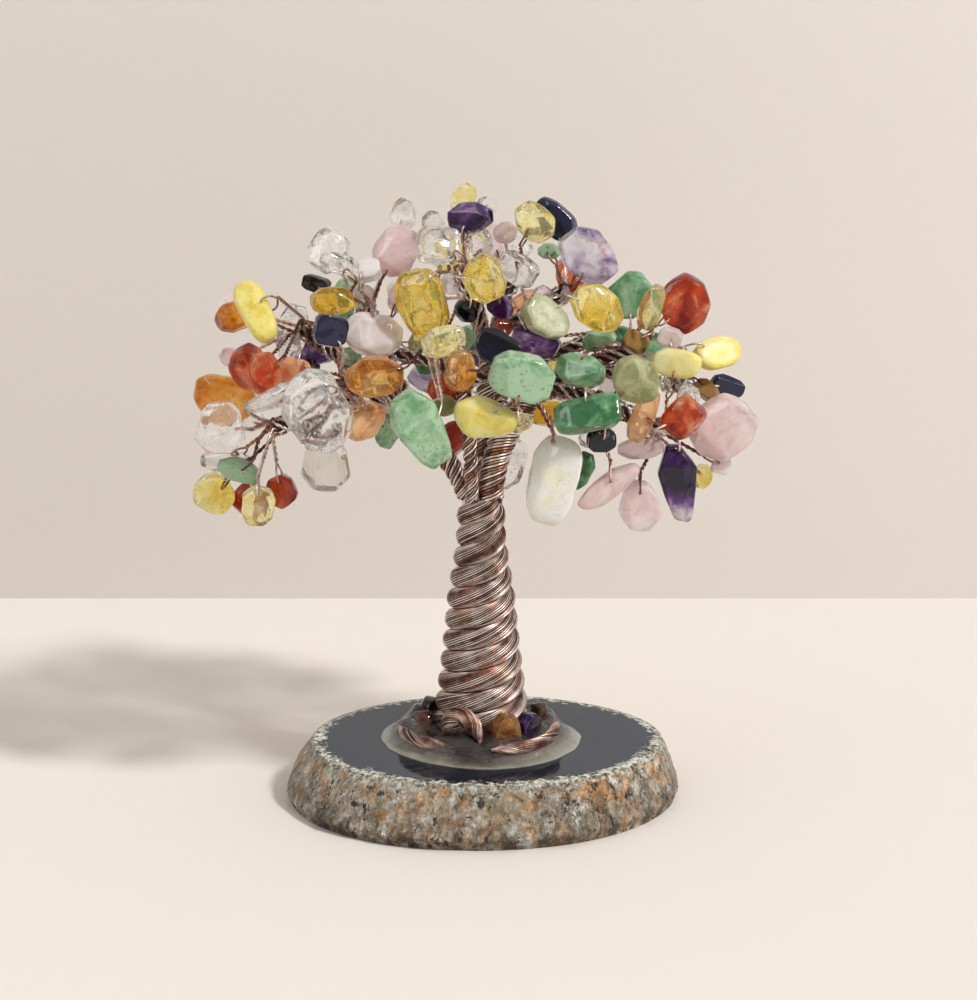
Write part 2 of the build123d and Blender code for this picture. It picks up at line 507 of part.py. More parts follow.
def back_chips():
    """The chips that the front view hides, spread round the ends of the back boughs."""
    rows = []
    for number, bough in enumerate(b for b in BOUGHS if b.limb == "back"):
        across, up, away = bough.end_shares
        for i, gem in enumerate(BACK_GEMS):
            bearing = tau * (i / len(BACK_GEMS)) + BACK_TURN * number
            spread = BACK_SPREAD_SHARE * (1 + 0.15 * chance(i, number))
            rows.append((
                gem, bough.name,
                across + spread * cos(bearing), up + spread * sin(bearing),
                away + BACK_SPREAD_SHARE * (0.35 + 0.45 * chance(number, i)),
                BACK_LONG_SHARE * (1 + 0.25 * chance(i, number, 1)),
                BACK_WIDE_SHARE * (1 + 0.20 * chance(i, number, 2)),
                90 * chance(i, number, 3), 0.1 * chance(i, number, 4), 0.2, None,
            ))
    return rows


class Stone:
    """A chip as the flat faces it was ground to: outward normals and distances from its middle."""

    def __init__(self, place, long_way, wide_way, length, width, taper, square, seed):
        thickness = max(CHIP_THICK_SHARE * width + 0.08 * length, CHIP_LEAST_THICKNESS)
        self.place = np.array(place, float)
        self.axes = np.array((long_way, wide_way, np.cross(long_way, wide_way)))
        half = np.array((length, width, thickness)) / 2
        faces = [((s, 0, 0), 1.0) for s in (-1, 1)]
        faces += [((taper, s, 0.12 * chance(seed, s)), 1.0) for s in (-1, 1)]
        faces += [((0.10 * chance(seed, s, 1), 0.16 * chance(seed, s, 2), s), 1.0) for s in (-1, 1)]
        normals, offsets = [], []
        for direction, share in faces:
            size = np.linalg.norm(direction)
            normals.append(np.array(direction) / size)
            offsets.append(half[int(np.argmax(np.abs(direction)))] * share / size)
        corners = [(a, b, 0) for a in (-1, 1) for b in (-1, 1)]
        if length > SMALL_CHIP_SHARE * CHIP_SPAN:
            corners += [(0, 1, 1), (0, -1, -1)]
        if length > LARGE_CHIP_SHARE * CHIP_SPAN:
            corners += [(1, 0, -1), (-1, 0, 1)]
        corners += [(1, -1, 1), (-1, 1, -1)] if chance(seed, 9) > 0 else [(1, 1, 1), (-1, -1, -1)]
        for number, corner in enumerate(corners):
            normal = unit(np.array(corner) / half)
            oval = np.linalg.norm(half * normal)
            box = np.abs(half * normal).sum()
            share = square + 0.13 * chance(seed, number, 5)
            normals.append(normal)
            offsets.append(oval + max(share, 0.0) * (box - oval) * 0.8)
        self.normals = np.array(normals) @ self.axes
        self.offsets = np.array(offsets)
        self.corners = self.find_corners()

    def find_corners(self):
        """Where three faces meet and no other face cuts the point off, from the stone's middle."""
        triples = np.array(list(combinations(range(len(self.offsets)), 3)))
        matrices, values = self.normals[triples], self.offsets[triples]
        good = np.abs(np.linalg.det(matrices)) > 1e-4
        points = np.linalg.solve(matrices[good], values[good][..., None])[..., 0]
        size = self.offsets.max()
        inside = (points @ self.normals.T <= self.offsets + 1e-9 * size).all(axis=1)
        return points[inside]

    def polygons(self):
        """The stone's faces as flat polygons in place, each turned outwards."""
        faces = []
        for normal, offset in zip(self.normals, self.offsets):
            on = self.corners[np.abs(self.corners @ normal - offset) < 1e-6 * offset]
            if len(on) < 3:
                continue
            middle = on.mean(axis=0)
            side = unit(on[0] - middle)
            other = np.cross(normal, side)
            order = np.argsort(np.arctan2((on - middle) @ other, (on - middle) @ side))
            faces.append(on[order] + self.place)
        return faces

    def balance(self):
        """The middle of the stone's volume, from its middle."""
        volume, moment = 0.0, np.zeros(3)
        for polygon in self.polygons():
            a = polygon[0] - self.place
            for b, c in zip(polygon[1:-1] - self.place, polygon[2:] - self.place):
                part = a.dot(np.cross(b, c)) / 6
                volume += part
                moment = moment + part * (a + b + c) / 4
        return moment / volume

    def sweep(self):
        """Sets the outline that others keep clear of. A chip that hangs takes what it swings through."""
        self.sweep_normals, self.sweep_offsets, self.sweep_corners = self.normals, self.offsets, self.corners
        if self.chip.hangs:
            turned, corners = [], []
            for angle in (-radians(SWING), 0.0, radians(SWING)):
                x, y, z = self.through
                skew = np.array(((0, -z, y), (z, 0, -x), (-y, x, 0)))
                turn = np.eye(3) + sin(angle) * skew + (1 - cos(angle)) * skew @ skew
                turned.append(self.normals @ turn.T)
                corners.append((self.corners - self.hole) @ turn.T + self.hole)
            self.sweep_normals, self.sweep_corners = np.vstack(turned), np.vstack(corners)
            self.sweep_offsets = (self.sweep_corners @ self.sweep_normals.T).max(axis=0)

    def exit(self, start, way):
        """How far it is from a point inside, given from the stone's middle, out along a direction."""
        facing = self.normals @ way
        ahead = facing > 1e-6
        return ((self.offsets[ahead] - self.normals[ahead] @ start) / facing[ahead]).min()

    def outside(self, points):
        """How far points lie outside the stone, at least. Negative is inside."""
        return ((points - self.place) @ self.normals.T - self.offsets).max(axis=1)

    def solid(self):
        """The stone, not drilled."""
        return faceted(self.polygons())


def make_stones():
    """Every chip of the crown as a stone at its first place."""
    stones = []
    for number, row in enumerate(list(CHIP_SHARES) + back_chips()):
        chip = Chip(*row)
        lean = radians(chip.lean)
        if chip.hangs:
            right, up, away = X_AXIS, Z_AXIS, Y_AXIS
        else:
            turn = radians(CHIP_TURN) * chance(number, 1)
            nod = radians(CHIP_TURN) * chance(number, 2)
            right = unit(cos(turn) * X_AXIS + sin(turn) * SIGHT_AWAY)
            up = unit(cos(nod) * SIGHT_UP + sin(nod) * np.cross(right, SIGHT_UP))
        long_way = unit(cos(lean) * right + sin(lean) * up)
        wide_way = unit(np.cross(np.cross(right, up), long_way))
        place = crown_place(chip.across, chip.up, chip.away)
        stone = Stone(
            place, long_way, wide_way, chip.long * CHIP_SPAN, chip.wide * CHIP_SPAN, chip.taper, chip.square, number
        )
        stone.chip = chip
        stones.append(stone)
    return stones


def wall_room(stone, sides, point):
    """The stone left between a point inside it and its nearest side face."""
    return (stone.offsets[sides] - stone.normals[sides] @ point).min()


def drill(stone, hub):
    """Sets where the stone is drilled, near the edge that faces its bough, and the wire's way in."""
    through = stone.axes[2] if stone.axes[2][1] > 0 else -stone.axes[2]
    aim = Z_AXIS if stone.chip.hangs else hub - stone.place
    inward = unit(aim - aim.dot(through) * through)
    across = np.cross(inward, through)
    middle = across * stone.balance().dot(across) if stone.chip.hangs else np.zeros(3)
    sides = np.abs(stone.normals @ through) < 0.8
    along = max(stone.exit(middle, inward) - DRILL_EDGE, 0.0)
    while along > 0 and wall_room(stone, sides, middle + along * inward) < DRILL_WALL:
        along = max(along - DRILL_EDGE / 8, 0.0)
    stone.through, stone.inward, stone.hole = through, inward, middle + along * inward
    standoff = (SWING_STANDOFF if stone.chip.hangs else LOOP_STANDOFF) + WIRE_RADIUS
    flat = np.stack((stone.normals @ inward, stone.normals @ through), axis=1)
    reach = stone.offsets - stone.normals @ stone.hole + standoff
    outline = []
    for i, j in combinations(range(len(reach)), 2):
        pair = flat[[i, j]]
        if abs(np.linalg.det(pair)) > 1e-3:
            point = np.linalg.solve(pair, reach[[i, j]])
            if (flat @ point <= reach + 1e-9 * reach.max()).all():
                outline.append(point)
    outline = np.array(outline)
    brow = outline[:, 0].max()
    stone.loop = []
    for sign in (-1, 1):
        mouth = stone.exit(stone.hole, sign * through) + standoff
        ahead = outline[(outline[:, 0] > 0.2 * brow)]
        rise = ((sign * ahead[:, 1] - mouth) / ahead[:, 0]).max()
        corner = max(mouth + rise * brow, LEG_OFFSET + WIRE_RADIUS)
        stone.loop.append((sign * mouth, sign * corner))
    stone.brow = brow
    stone.throat = stone.hole + (brow + LOOP_THROAT) * inward
    stone.sweep()


def sampled(route, step):
    """Points along a route, about one step apart."""
    points = []
    for a, b in zip(route[:-1], route[1:]):
        count = max(int(np.linalg.norm(b - a) / step), 1)
        points += [a + (b - a) * i / count for i in range(count)]
    return points + [route[-1]]


def hub_ends(boughs):
    """Each bough's end and the way it points."""
    return {name: (route[-1], unit(route[-1] - route[-2])) for name, (route, _, _) in boughs.items()}


def twig_lines(stones, hubs):
    """For each stone the twig's first points: on the bough's cut end, past it, and at the chip."""
    lines = [None] * len(stones)
    for name, (end, way) in hubs.items():
        own = [i for i, stone in enumerate(stones) if stone.chip.bough == name]
        outs = slot_order(end, way, [stones[i].place + stones[i].throat for i in own])
        circle = twig_circle(len(own))
        for i, out in zip(own, outs):
            start = end + circle * out
            lines[i] = (start, start + TWIG_RISE * (way + out), stones[i].place + stones[i].throat, out, way)
    return lines


def ease_apart(stones, hubs, solid_points, solid_radii):
    """Moves chips, mostly along the line of sight, until they clear each other and the wires."""
    frame = np.array((X_AXIS, SIGHT_UP, SIGHT_AWAY))
    weights = frame.T @ np.diag((SIDE_EASE_SHARE, SIDE_EASE_SHARE, 1.0)) @ frame
    for turn in range(EASE_ROUNDS):
        if turn % 10 == 0:
            for stone in stones:
                drill(stone, hubs[stone.chip.bough][0])
            radii = np.array([np.linalg.norm(s.sweep_corners, axis=1).max() for s in stones])
        lines = twig_lines(stones, hubs)
        owner, points = [], []
        for i, line in enumerate(lines):
            run = sampled(line[1:3], ROUTE_STEP)
            owner += [i] * len(run)
            points += run
        owner = np.array([-1] * len(solid_points) + owner)
        points = np.vstack((solid_points, points))
        wide = np.concatenate((solid_radii, np.full(len(points) - len(solid_radii), 2 * WIRE_RADIUS + LEG_GAP)))
        pushes = np.zeros((len(stones), 3))
        worst = 0.0
        for i, stone in enumerate(stones):
            near = np.linalg.norm(points - stone.place, axis=1) < radii[i] + wide + CHIP_GAP
            near &= owner != i
            levels = (points[near] - stone.place) @ stone.sweep_normals.T - stone.sweep_offsets
            need = wide[near][:, None] + CHIP_GAP - levels
            clash = (need > 0).all(axis=1)
            for needs, whose in zip(need[clash], owner[near][clash]):
                scale = np.einsum("ij,jk,ik->i", stone.sweep_normals, weights, stone.sweep_normals)
                best = int(np.argmin(needs / np.sqrt(scale)))
                move = -needs[best] * (weights @ stone.sweep_normals[best]) / scale[best]
                share = 1.0 if whose < 0 else 0.6
                pushes[i] += move * share * 0.5
                if whose >= 0:
                    pushes[whose] -= move * 0.2
                worst = max(worst, needs[best])
        for i, j in combinations(range(len(stones)), 2):
            a, b = stones[i], stones[j]
            between = b.place - a.place
            if np.linalg.norm(between) > radii[i] + radii[j] + CHIP_GAP:
                continue
            ways = np.vstack((a.sweep_normals, -b.sweep_normals))
            gaps = (b.sweep_corners @ ways.T).min(axis=0) - (a.sweep_corners @ ways.T).max(axis=0)
            gaps = gaps + ways @ between
            need = CHIP_GAP - gaps
            if (need > 0).all():
                scale = np.einsum("ij,jk,ik->i", ways, weights, ways)
                best = int(np.argmin(need / np.sqrt(scale)))
                move = need[best] * (weights @ ways[best]) / scale[best]
                pushes[i] -= move / 2
                pushes[j] += move / 2
                worst = max(worst, need[best])
        for stone, push in zip(stones, pushes):
            size = np.linalg.norm(push)
            limit = CHIP_SPAN / 8
            stone.place = stone.place + push * EASE_SHARE * min(1.0, limit / max(size, limit))
        if worst == 0.0:
            break
    print("easing rounds", turn + 1, "largest need left", round(float(worst), 3))
    for stone in stones:
        drill(stone, hubs[stone.chip.bough][0])


def bow_twigs(stones, lines, solid_points, solid_radii):
    """Where each twig bends on its way to its chip, so that it passes clear of everything else."""
    half_width = LEG_OFFSET + WIRE_RADIUS
    bends = [(line[1] + line[2]) / 2 for line in lines]
    runs = [np.array(sampled((line[1], bend, line[2]), ROUTE_STEP / 2)) for line, bend in zip(lines, bends)]
    for _ in range(BOW_ROUNDS):
        for i, line in enumerate(lines):
            stem = unit(line[2] - line[1])
            side = unit(np.cross(stem, Z_AXIS + 0.3 * X_AXIS))
            other = np.cross(stem, side)
            others = [run[2:] for j, run in enumerate(runs) if j != i]
            points = np.vstack([solid_points] + others)
            radii = np.full(len(points), half_width)
            radii[:len(solid_points)] = solid_radii
            reach = np.linalg.norm(line[2] - line[1]) / 2 + max(TWIG_BOWS) + FORK_RADIUS
            near = np.linalg.norm(points - (line[1] + line[2]) / 2, axis=1) < reach
            chips = [s for s in stones if np.linalg.norm(s.place - bends[i]) < reach + CHIP_SPAN]
            best = None
            for bow in TWIG_BOWS:
                for k in range(BOW_SIDES if bow else 1):
                    turn = tau * k / BOW_SIDES
                    bend = (line[1] + line[2]) / 2 + bow * (cos(turn) * side + sin(turn) * other)
                    run = np.array(sampled((line[1], bend, line[2]), ROUTE_STEP / 2))
                    inner = run[3:-1] if len(run) > 6 else run[-3:-1]
                    gaps = np.linalg.norm(inner[:, None] - points[near][None], axis=2) - radii[near]
                    room = gaps.min() - half_width
                    for stone in chips:
                        free = run[:-2] if stone is stones[i] else run
                        room = min(room, stone.outside(free).min() - half_width)
                    worth = min(room, SEAT_GAP) - bow / 20
                    if best is None or worth > best[0]:
                        best = (worth, bend, run)
            bends[i], runs[i] = best[1], best[2]
    return bends


def doubled_wire(stone, line, bend):
    """The wire of one chip: up from the bough, through the drilled hole, and back beside itself."""
    start, past, throat, out, way = line
    side = np.cross(stone.inward, stone.through)
    side = -side if side.dot(out) < 0 else side
    places = (start, past, bend, throat)
    turns = (out, unit(2 * out + side), unit(out + 2 * side), side)
    stems = (way, unit(bend - start), unit(throat - past), unit(throat - bend))
    legs = []
    for sign, (mouth, corner) in zip((-1, 1), stone.loop):
        leg = []
        for place, turn, stem in zip(places, turns, stems):
            leg.append(place + sign * LEG_OFFSET * unit(turn - turn.dot(stem) * stem))
        hole = stone.place + stone.hole
        leg.append(hole + stone.brow * stone.inward + corner * stone.through)
        leg.append(hole + mouth * stone.through)
        legs.append(leg)
    route = legs[0] + legs[1][::-1]
    rings = bend_rings(route, [WIRE_RADIUS] * len(route), TWIG_SIDES, way)
    return level_end(rings, start, way)


def level_end(rings, point, way):
    """Rings of a doubled wire with the second cut end, too, lying flat on the bough's cut end."""
    last, before = rings[-1], rings[-2]
    levelled = []
    for corner, back in zip(last, before):
        run = corner - back
        levelled.append(corner + run * ((point - corner).dot(way) / run.dot(way)))
    rings[-1] = levelled
    return rings


def drilled(stone):
    """The chip with its hole, drilled right through."""
    depth = 2 * np.linalg.norm(stone.corners, axis=1).max()
    hole = stone.place + stone.hole
    plane = Plane(origin=Vector(*(hole - stone.through * depth)), z_dir=Vector(*stone.through))
    sides = SWING_HOLE_SIDES if stone.chip.hangs else HOLE_SIDES
    outline = plane * RegularPolygon(DRILL_RADIUS, sides)
    return stone.solid() - extrude(outline, 2 * depth, dir=Vector(*stone.through))


def foot_stones():
    """The stones that stand round the trunk's foot, set in the resin."""
    stones = []
    for number, (gem, bearing, length, width, lean) in enumerate(FOOT_STONE_SHARES):
        turn = radians(bearing)
        out = np.array((cos(turn), sin(turn), 0.0))
        along = np.cross(Z_AXIS, out)
        long_way = cos(radians(lean)) * along + sin(radians(lean)) * Z_AXIS
        wide_way = np.cross(out, long_way)
        stone = Stone(np.zeros(3), long_way, wide_way, length * CHIP_SPAN, width * CHIP_SPAN, 0.1, 0.1, 200 + number)
        inner = (stone.corners @ out).min()
        lowest = (stone.corners @ Z_AXIS).min()
        stone.place = (TRUNK_FOOT_RADIUS + SEAT_GAP - inner) * out + (RESIN_TOP + LEG_GAP - lowest) * Z_AXIS
        stones.append((gem, stone))
    return stones


def root(shares, radius):
    """One root bundle along its route on the resin."""
    route = [TRUNK_FOOT_RADIUS * np.array(share) + RESIN_TOP * Z_AXIS for share in shares]
    return ringed(bend_rings(route, [radius] * len(route), ROOT_SIDES))


def save(name, solids):
    """Writes one node as a group of separate solids."""
    export_step(Compound([solid for solid in solids]), f"parts/{name}.step")


def plan():
    """Where the limbs, boughs, chips and twigs lie."""
    limbs = limb_routes()
    stones = make_stones()
    twigs = {bough.name: sum(s.chip.bough == bough.name for s in stones) for bough in BOUGHS}
    boughs = bough_routes(limbs, twigs)
    hubs = hub_ends(boughs)

    points, radii = [], []
    for limb in LIMBS:
        run = sampled(limbs[limb.name], ROUTE_STEP)
        points += run
        radii += list(np.linspace(limb.start_radius, limb.end_radius, len(run)))
    for route, widths, _ in boughs.values():
        run = sampled(route, ROUTE_STEP)
        points += run
        radii += list(np.linspace(widths[0], widths[-1], len(run)))
    for i in range(int(TRUNK_HEIGHT / ROUTE_STEP)):
        points.append((RESIN_TOP + TRUNK_HEIGHT + FORK_RISE - i * ROUTE_STEP) * Z_AXIS)
        radii.append(FORK_RADIUS)
    points, radii = np.array(points), np.array(radii)
    ease_apart(stones, hubs, points, radii)
    lines = twig_lines(stones, hubs)
    bends = bow_twigs(stones, lines, points, radii)
    return limbs, boughs, stones, lines, bends


def build():
    """Makes every piece and writes it as a node."""
    os.makedirs("parts", exist_ok=True)
    limbs, boughs, stones, lines, bends = plan()

    save("base_slab", [slab()])
    save("resin_pool", [resin()])
    save("trunk_core", [core()])
    first = bundle_rings(FIRST_BAND_RISE)
    second = bundle_rings(FIRST_BAND_RISE + BAND_PITCH)
    save("trunk_bundle_first", [ringed(first)])
    save("trunk_bundle_second", [ringed(second)])
    print("least gap of a bundle to itself", round(float(least_gap(first, first, BUNDLE_STEPS // 2)), 2))
    print("least gap between the bundles", round(float(least_gap(first, second, 0)), 2))
    save("root_left", [root(ROOT_LEFT_SHARES, ROOT_RADIUS)])
    save("root_right", [root(ROOT_RIGHT_SHARES, ROOT_RADIUS)])
    save("root_curl", [root(ROOT_CURL_SHARES, CURL_RADIUS)])
    for gem in ("amber", "amethyst"):
        save(f"foot_{gem}_stones", [stone.solid() for kind, stone in foot_stones() if kind == gem])

    for limb in LIMBS:
        route = limbs[limb.name]
        widths = np.linspace(limb.start_radius, limb.end_radius, len(route))
        pieces = [ringed(bend_rings(route, widths, LIMB_SIDES, Z_AXIS))]
        for bough in BOUGHS:
            if bough.limb == limb.name:
                path, bough_radii, way = boughs[bough.name]
                pieces.append(ringed(bend_rings(path, bough_radii, LIMB_SIDES, way)))
        save(f"limb_{limb.name}", pieces)

    sides = {bough.name: bough.limb for bough in BOUGHS}
    groups, wires = {}, {}
    for stone, line, bend in zip(stones, lines, bends):
        side = sides[stone.chip.bough]
        side = "middle" if side in ("front", "top") else side
        name = stone.chip.hangs or f"{stone.chip.gem}_chips_{side}"
        groups.setdefault(name, []).append(drilled(stone))
        wires.setdefault(f"twigs_{side}", []).append(ringed(doubled_wire(stone, line, bend)))
        if stone.chip.hangs:
            hole = stone.place + stone.hole
            print("hinge", name, [round(float(v), 4) for v in hole], [round(float(v), 4) for v in stone.through])
    for name, solids in {**groups, **wires}.items():
        save(name, solids)
    print("nodes", len(groups) + len(wires) + 10 + len(LIMBS))


build()
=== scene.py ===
import json
from math import cos, pi, radians, sin, tau

import bmesh
import bpy
import numpy as np
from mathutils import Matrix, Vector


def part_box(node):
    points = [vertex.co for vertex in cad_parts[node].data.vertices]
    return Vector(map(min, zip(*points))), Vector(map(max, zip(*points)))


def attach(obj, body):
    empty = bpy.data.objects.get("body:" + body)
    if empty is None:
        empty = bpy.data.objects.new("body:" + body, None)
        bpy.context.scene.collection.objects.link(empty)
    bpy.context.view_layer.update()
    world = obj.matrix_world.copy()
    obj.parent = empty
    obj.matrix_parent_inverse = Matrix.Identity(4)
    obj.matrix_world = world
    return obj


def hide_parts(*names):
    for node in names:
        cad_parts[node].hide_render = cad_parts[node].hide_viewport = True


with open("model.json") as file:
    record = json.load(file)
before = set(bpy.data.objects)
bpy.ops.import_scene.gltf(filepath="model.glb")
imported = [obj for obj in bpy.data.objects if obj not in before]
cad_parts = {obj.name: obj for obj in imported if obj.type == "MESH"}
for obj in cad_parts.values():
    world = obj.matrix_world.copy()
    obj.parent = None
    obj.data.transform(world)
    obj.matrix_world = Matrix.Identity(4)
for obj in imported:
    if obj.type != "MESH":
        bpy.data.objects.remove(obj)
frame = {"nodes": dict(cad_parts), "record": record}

bl_info = {
    "name": "Gem Tree",
    "version": (1, 0, 0),
    "blender": (4, 5, 0),
    "location": "View3D > Sidebar > Gem Tree",
    "description": "A copper wire tree with tumbled gem chips on a slice of agate",
    "category": "Add Mesh",
}

MM = 0.001
TREE = "tree"
BAND_NODES = ("trunk_bundle_first", "trunk_bundle_second")
ROOT_NODES = ("root_left", "root_right", "root_curl")
LIMB_NODES = ("limb_left", "limb_front", "limb_right", "limb_top", "limb_back")
TWIG_NODES = ("twigs_left", "twigs_middle", "twigs_right", "twigs_back")
GEM_WORDS = ("chips", "stones", "drop", "shard", "point")
GOLDEN = 0.618034

# Sides of the CAD's tubes, and rings of a limb, by which their routes are found
BUNDLE_SIDES, ROOT_SIDES, LIMB_SIDES, TWIG_SIDES, CORE_SIDES = 6, 6, 7, 3, 10
LIMB_RINGS = 5

# Steps along the paths of the pieces
BAND_STEP = 0.6 * MM
FORK_STEP = 0.3 * MM
CORE_STEP = 1.0 * MM
ROOT_STEP = 0.4 * MM
LIMB_STEP = 0.40 * MM
BOUGH_STEP = 0.45 * MM
FILLER_STEP = 0.8 * MM
TWIG_STEP = 0.30 * MM

# The trunk's bands, their tails' steps, the core and the wires over the fork
BAND_DEPTH = 3.0 * MM
BAND_HEIGHT = 3.74 * MM
TAIL_STEPS = 10
CORE_SHARE = 0.94
FORK_SHARE = 0.72
FORK_DROP = 4.5 * MM
FORK_RISE = 1.6 * MM
FORK_SEED = 12

# Roots: the length over which an end tapers, and their width and lay against the CAD's radius and the trunk's lay
ROOT_TAPER = 3.6 * MM
ROOT_SWELL = 1.05
ROOT_LAY = 0.45
ROOT_SEED = 7

# Limbs and boughs: width against the CAD's radius, and the radius for which a bough has one strand more
LIMB_SWELL = 1.15
LIMB_WIRE_SHARE = 0.47
BOUGH_SWELL = 1.42
BOUGH_STRAND = 0.22 * MM

# Wires: room for each in wire radii, shares of a rope's and a strand's width, and the reach of up to 4 packed wires
WIRE_SPACING = 3.15
STRAND_SHARE = 0.44
INNER_SHARE = 0.80
PACKED_REACH = (0.0, 0.0, 1.0, 1.16, 1.42)
PAIR_GAP = 1.04

# Chips: cells along a side of the ball, where a corner is cut off, how much paler an edge is painted as a highlight,
# the dents' shares
CHIP_CELLS = 20
CORNER_CUT = (0.89, 0.98)
EDGE_PAINTED_HIGHLIGHT = 0.2
HOLLOW_SHARE, BROAD_SHARE, FINE_SHARE, SLIM_SHARE = 0.15, 0.50, 0.15, 0.40

# The slice's and the resin's points round, the slice's rows, and the height of the mound at the trunk's foot
SLICE_POINTS = 420
SLICE_ROWS = 46
RESIN_POINTS = 200
RESIN_RISE = 2.5 * MM


class GemTreeSettings(bpy.types.PropertyGroup):
    """Sizes of the wires, the tumbling of the chips and the stage."""

    wire_radius: bpy.props.FloatProperty(
        name="Wire radius", description="Radius of the wire that carries each chip",
        default=0.19 * MM, unit="LENGTH")
    strand_radius: bpy.props.FloatProperty(
        name="Trunk wire radius", description="Radius of each wire in the trunk's bundles",
        default=0.115 * MM, unit="LENGTH")
    bundle_turn: bpy.props.FloatProperty(
        name="Bundle lay", description="Length over which a bundle's wires go once round it",
        default=34.0 * MM, unit="LENGTH")
    rope_turn: bpy.props.FloatProperty(
        name="Limb lay", description="Length over which a limb's strands go once round it",
        default=9.6 * MM, unit="LENGTH")
    limb_turn: bpy.props.FloatProperty(
        name="Thick limb lay", description="Length over which a thick limb's strands go once round it",
        default=5.2 * MM, unit="LENGTH")
    pair_turn: bpy.props.FloatProperty(
        name="Twist of a pair", description="Length over which two twisted wires go once round each other",
        default=2.6 * MM, unit="LENGTH")
    dent: bpy.props.FloatProperty(
        name="Dents", description="Depth of the dents in a chip, as a share of its radius", default=0.17)
    corner_cuts: bpy.props.IntProperty(
        name="Corner cuts", description="Small faces that cut a chip's corners off", default=7)
    rind_depth: bpy.props.FloatProperty(
        name="Rind roughness", description="Depth of the hollows in the slice's rough edge",
        default=0.75 * MM, unit="LENGTH")
    eye_distance: bpy.props.FloatProperty(
        name="Eye distance", description="Distance from the camera to the middle of the view",
        default=700.0 * MM, unit="LENGTH")
    eye_tilt: bpy.props.FloatProperty(
        name="Eye tilt", description="How far the camera looks down", default=radians(15.5), subtype="ANGLE")
    lens: bpy.props.FloatProperty(
        name="Lens", description="Focal length in millimetres", default=140.0)


def settings():
    """The add-on's settings."""
    return bpy.context.scene.gem_tree


# Reading the frame

def node_mesh(name):
    """Points and triangles of a CAD node, with points that coincide joined into one."""
    mesh = frame["nodes"][name].data
    mesh.calc_loop_triangles()
    points = np.empty(3 * len(mesh.vertices))
    mesh.vertices.foreach_get("co", points)
    triangles = np.empty(3 * len(mesh.loop_triangles), int)
    mesh.loop_triangles.foreach_get("vertices", triangles)
    keys = np.round(points.reshape(-1, 3) * 1e7).astype(np.int64)
    joined, where = np.unique(keys, axis=0, return_inverse=True)
    return joined * 1e-7, where.reshape(-1)[triangles].reshape(-1, 3)


def solids_of(name):
    """The separate solids of a node, each as points and triangles.

    Every point starts with its own number as its label, and each triangle passes its least label
    to its three points until nothing changes.
    """
    points, triangles = node_mesh(name)
    labels = np.arange(len(points))
    while True:
        least = labels[triangles].min(axis=1)
        fresh = labels.copy()
        np.minimum.at(fresh, triangles.ravel(), np.repeat(least, 3))
        if (fresh == labels).all():
            break
        labels = fresh
    found = []
    for label in np.unique(labels):
        mine = np.flatnonzero(labels == label)
        renumber = np.zeros(len(points), int)
        renumber[mine] = np.arange(len(mine))
        found.append((points[mine], renumber[triangles[labels[triangles[:, 0]] == label]]))
    return found


def face_planes(points, triangles):
    """Unit normals and offsets of each triangle's plane."""
    a, b, c = (points[triangles[:, k]] for k in range(3))
    normals = unit(np.cross(b - a, c - a))
    return normals, (normals * a).sum(axis=1)


def rings_from(end, near):
    """The rings of a tube, from the corners of its cut end to the last: each is what the one before touches."""
    rings, taken = [], set()
    ring = set(end)
    while ring:
        rings.append(sorted(ring))
        taken |= ring
        ring = set().union(*(near[k] for k in ring)) - taken
    return rings


def tube_route(points, triangles, sides):
    """Middles and radii of a tube's rings, from one cut end to the other.

    A cut end is a flat fan of sides - 2 triangles from which every ring has as many corners as the tube has sides.
    """
    near = [set() for _ in points]
    for a, b, c in triangles.tolist():
        near[a] |= {b, c}
        near[b] |= {a, c}
        near[c] |= {a, b}
    normals, offsets = face_planes(points, triangles)
    flat = (normals @ normals.T > 0.995) & (np.abs(offsets[:, None] - offsets) < 30e-6)
    ends = triangles if sides == 3 else [np.unique(triangles[row]) for row in flat[flat.sum(axis=1) == sides - 2]]
    for end in ends:
        rings = rings_from(end.tolist(), near) if len(end) == sides else [[]]
        if all(len(ring) == sides for ring in rings):
            corners = points[np.array(rings)]
            middles = corners.mean(axis=1)
            return middles, np.linalg.norm(corners - middles[:, None], axis=2).min(axis=1)
    raise ValueError("a tube has no cut end")


# Whole-array noise and curves

def lattice_noise(places, seed):
    """Smooth noise from 0 to 1: chance values on a cubic lattice, mixed by s = 3t^2 - 2t^3."""
    base = np.floor(places).astype(np.int64)
    t = places - base
    t = t * t * (3 - 2 * t)
    total = np.zeros(places.shape[:-1])
    for corner in np.ndindex(2, 2, 2):
        cell = base + corner
        mixed = cell[..., 0] * 73856093 ^ cell[..., 1] * 19349663 ^ cell[..., 2] * 83492791 ^ seed * 2654435761
        mixed = (mixed ^ (mixed >> 13)) * 1274126177 & 0x7FFFFFFF
        mixed = (mixed ^ (mixed >> 15)) & 0xFFFFF
        weight = np.prod(np.where(corner, t, 1 - t), axis=-1)
        total += weight * mixed / 0xFFFFF
    return total


def fractal(places, seed, layers=4):
    """Sum over k of noise(2^k p) / 2^k, brought back to the span from 0 to 1."""
    total, whole = 0.0, 0.0
    for k in range(layers):
        total = total + lattice_noise(places * 2 ** k + 17.3 * k, seed + k) / 2 ** k
        whole += 1 / 2 ** k
    return total / whole


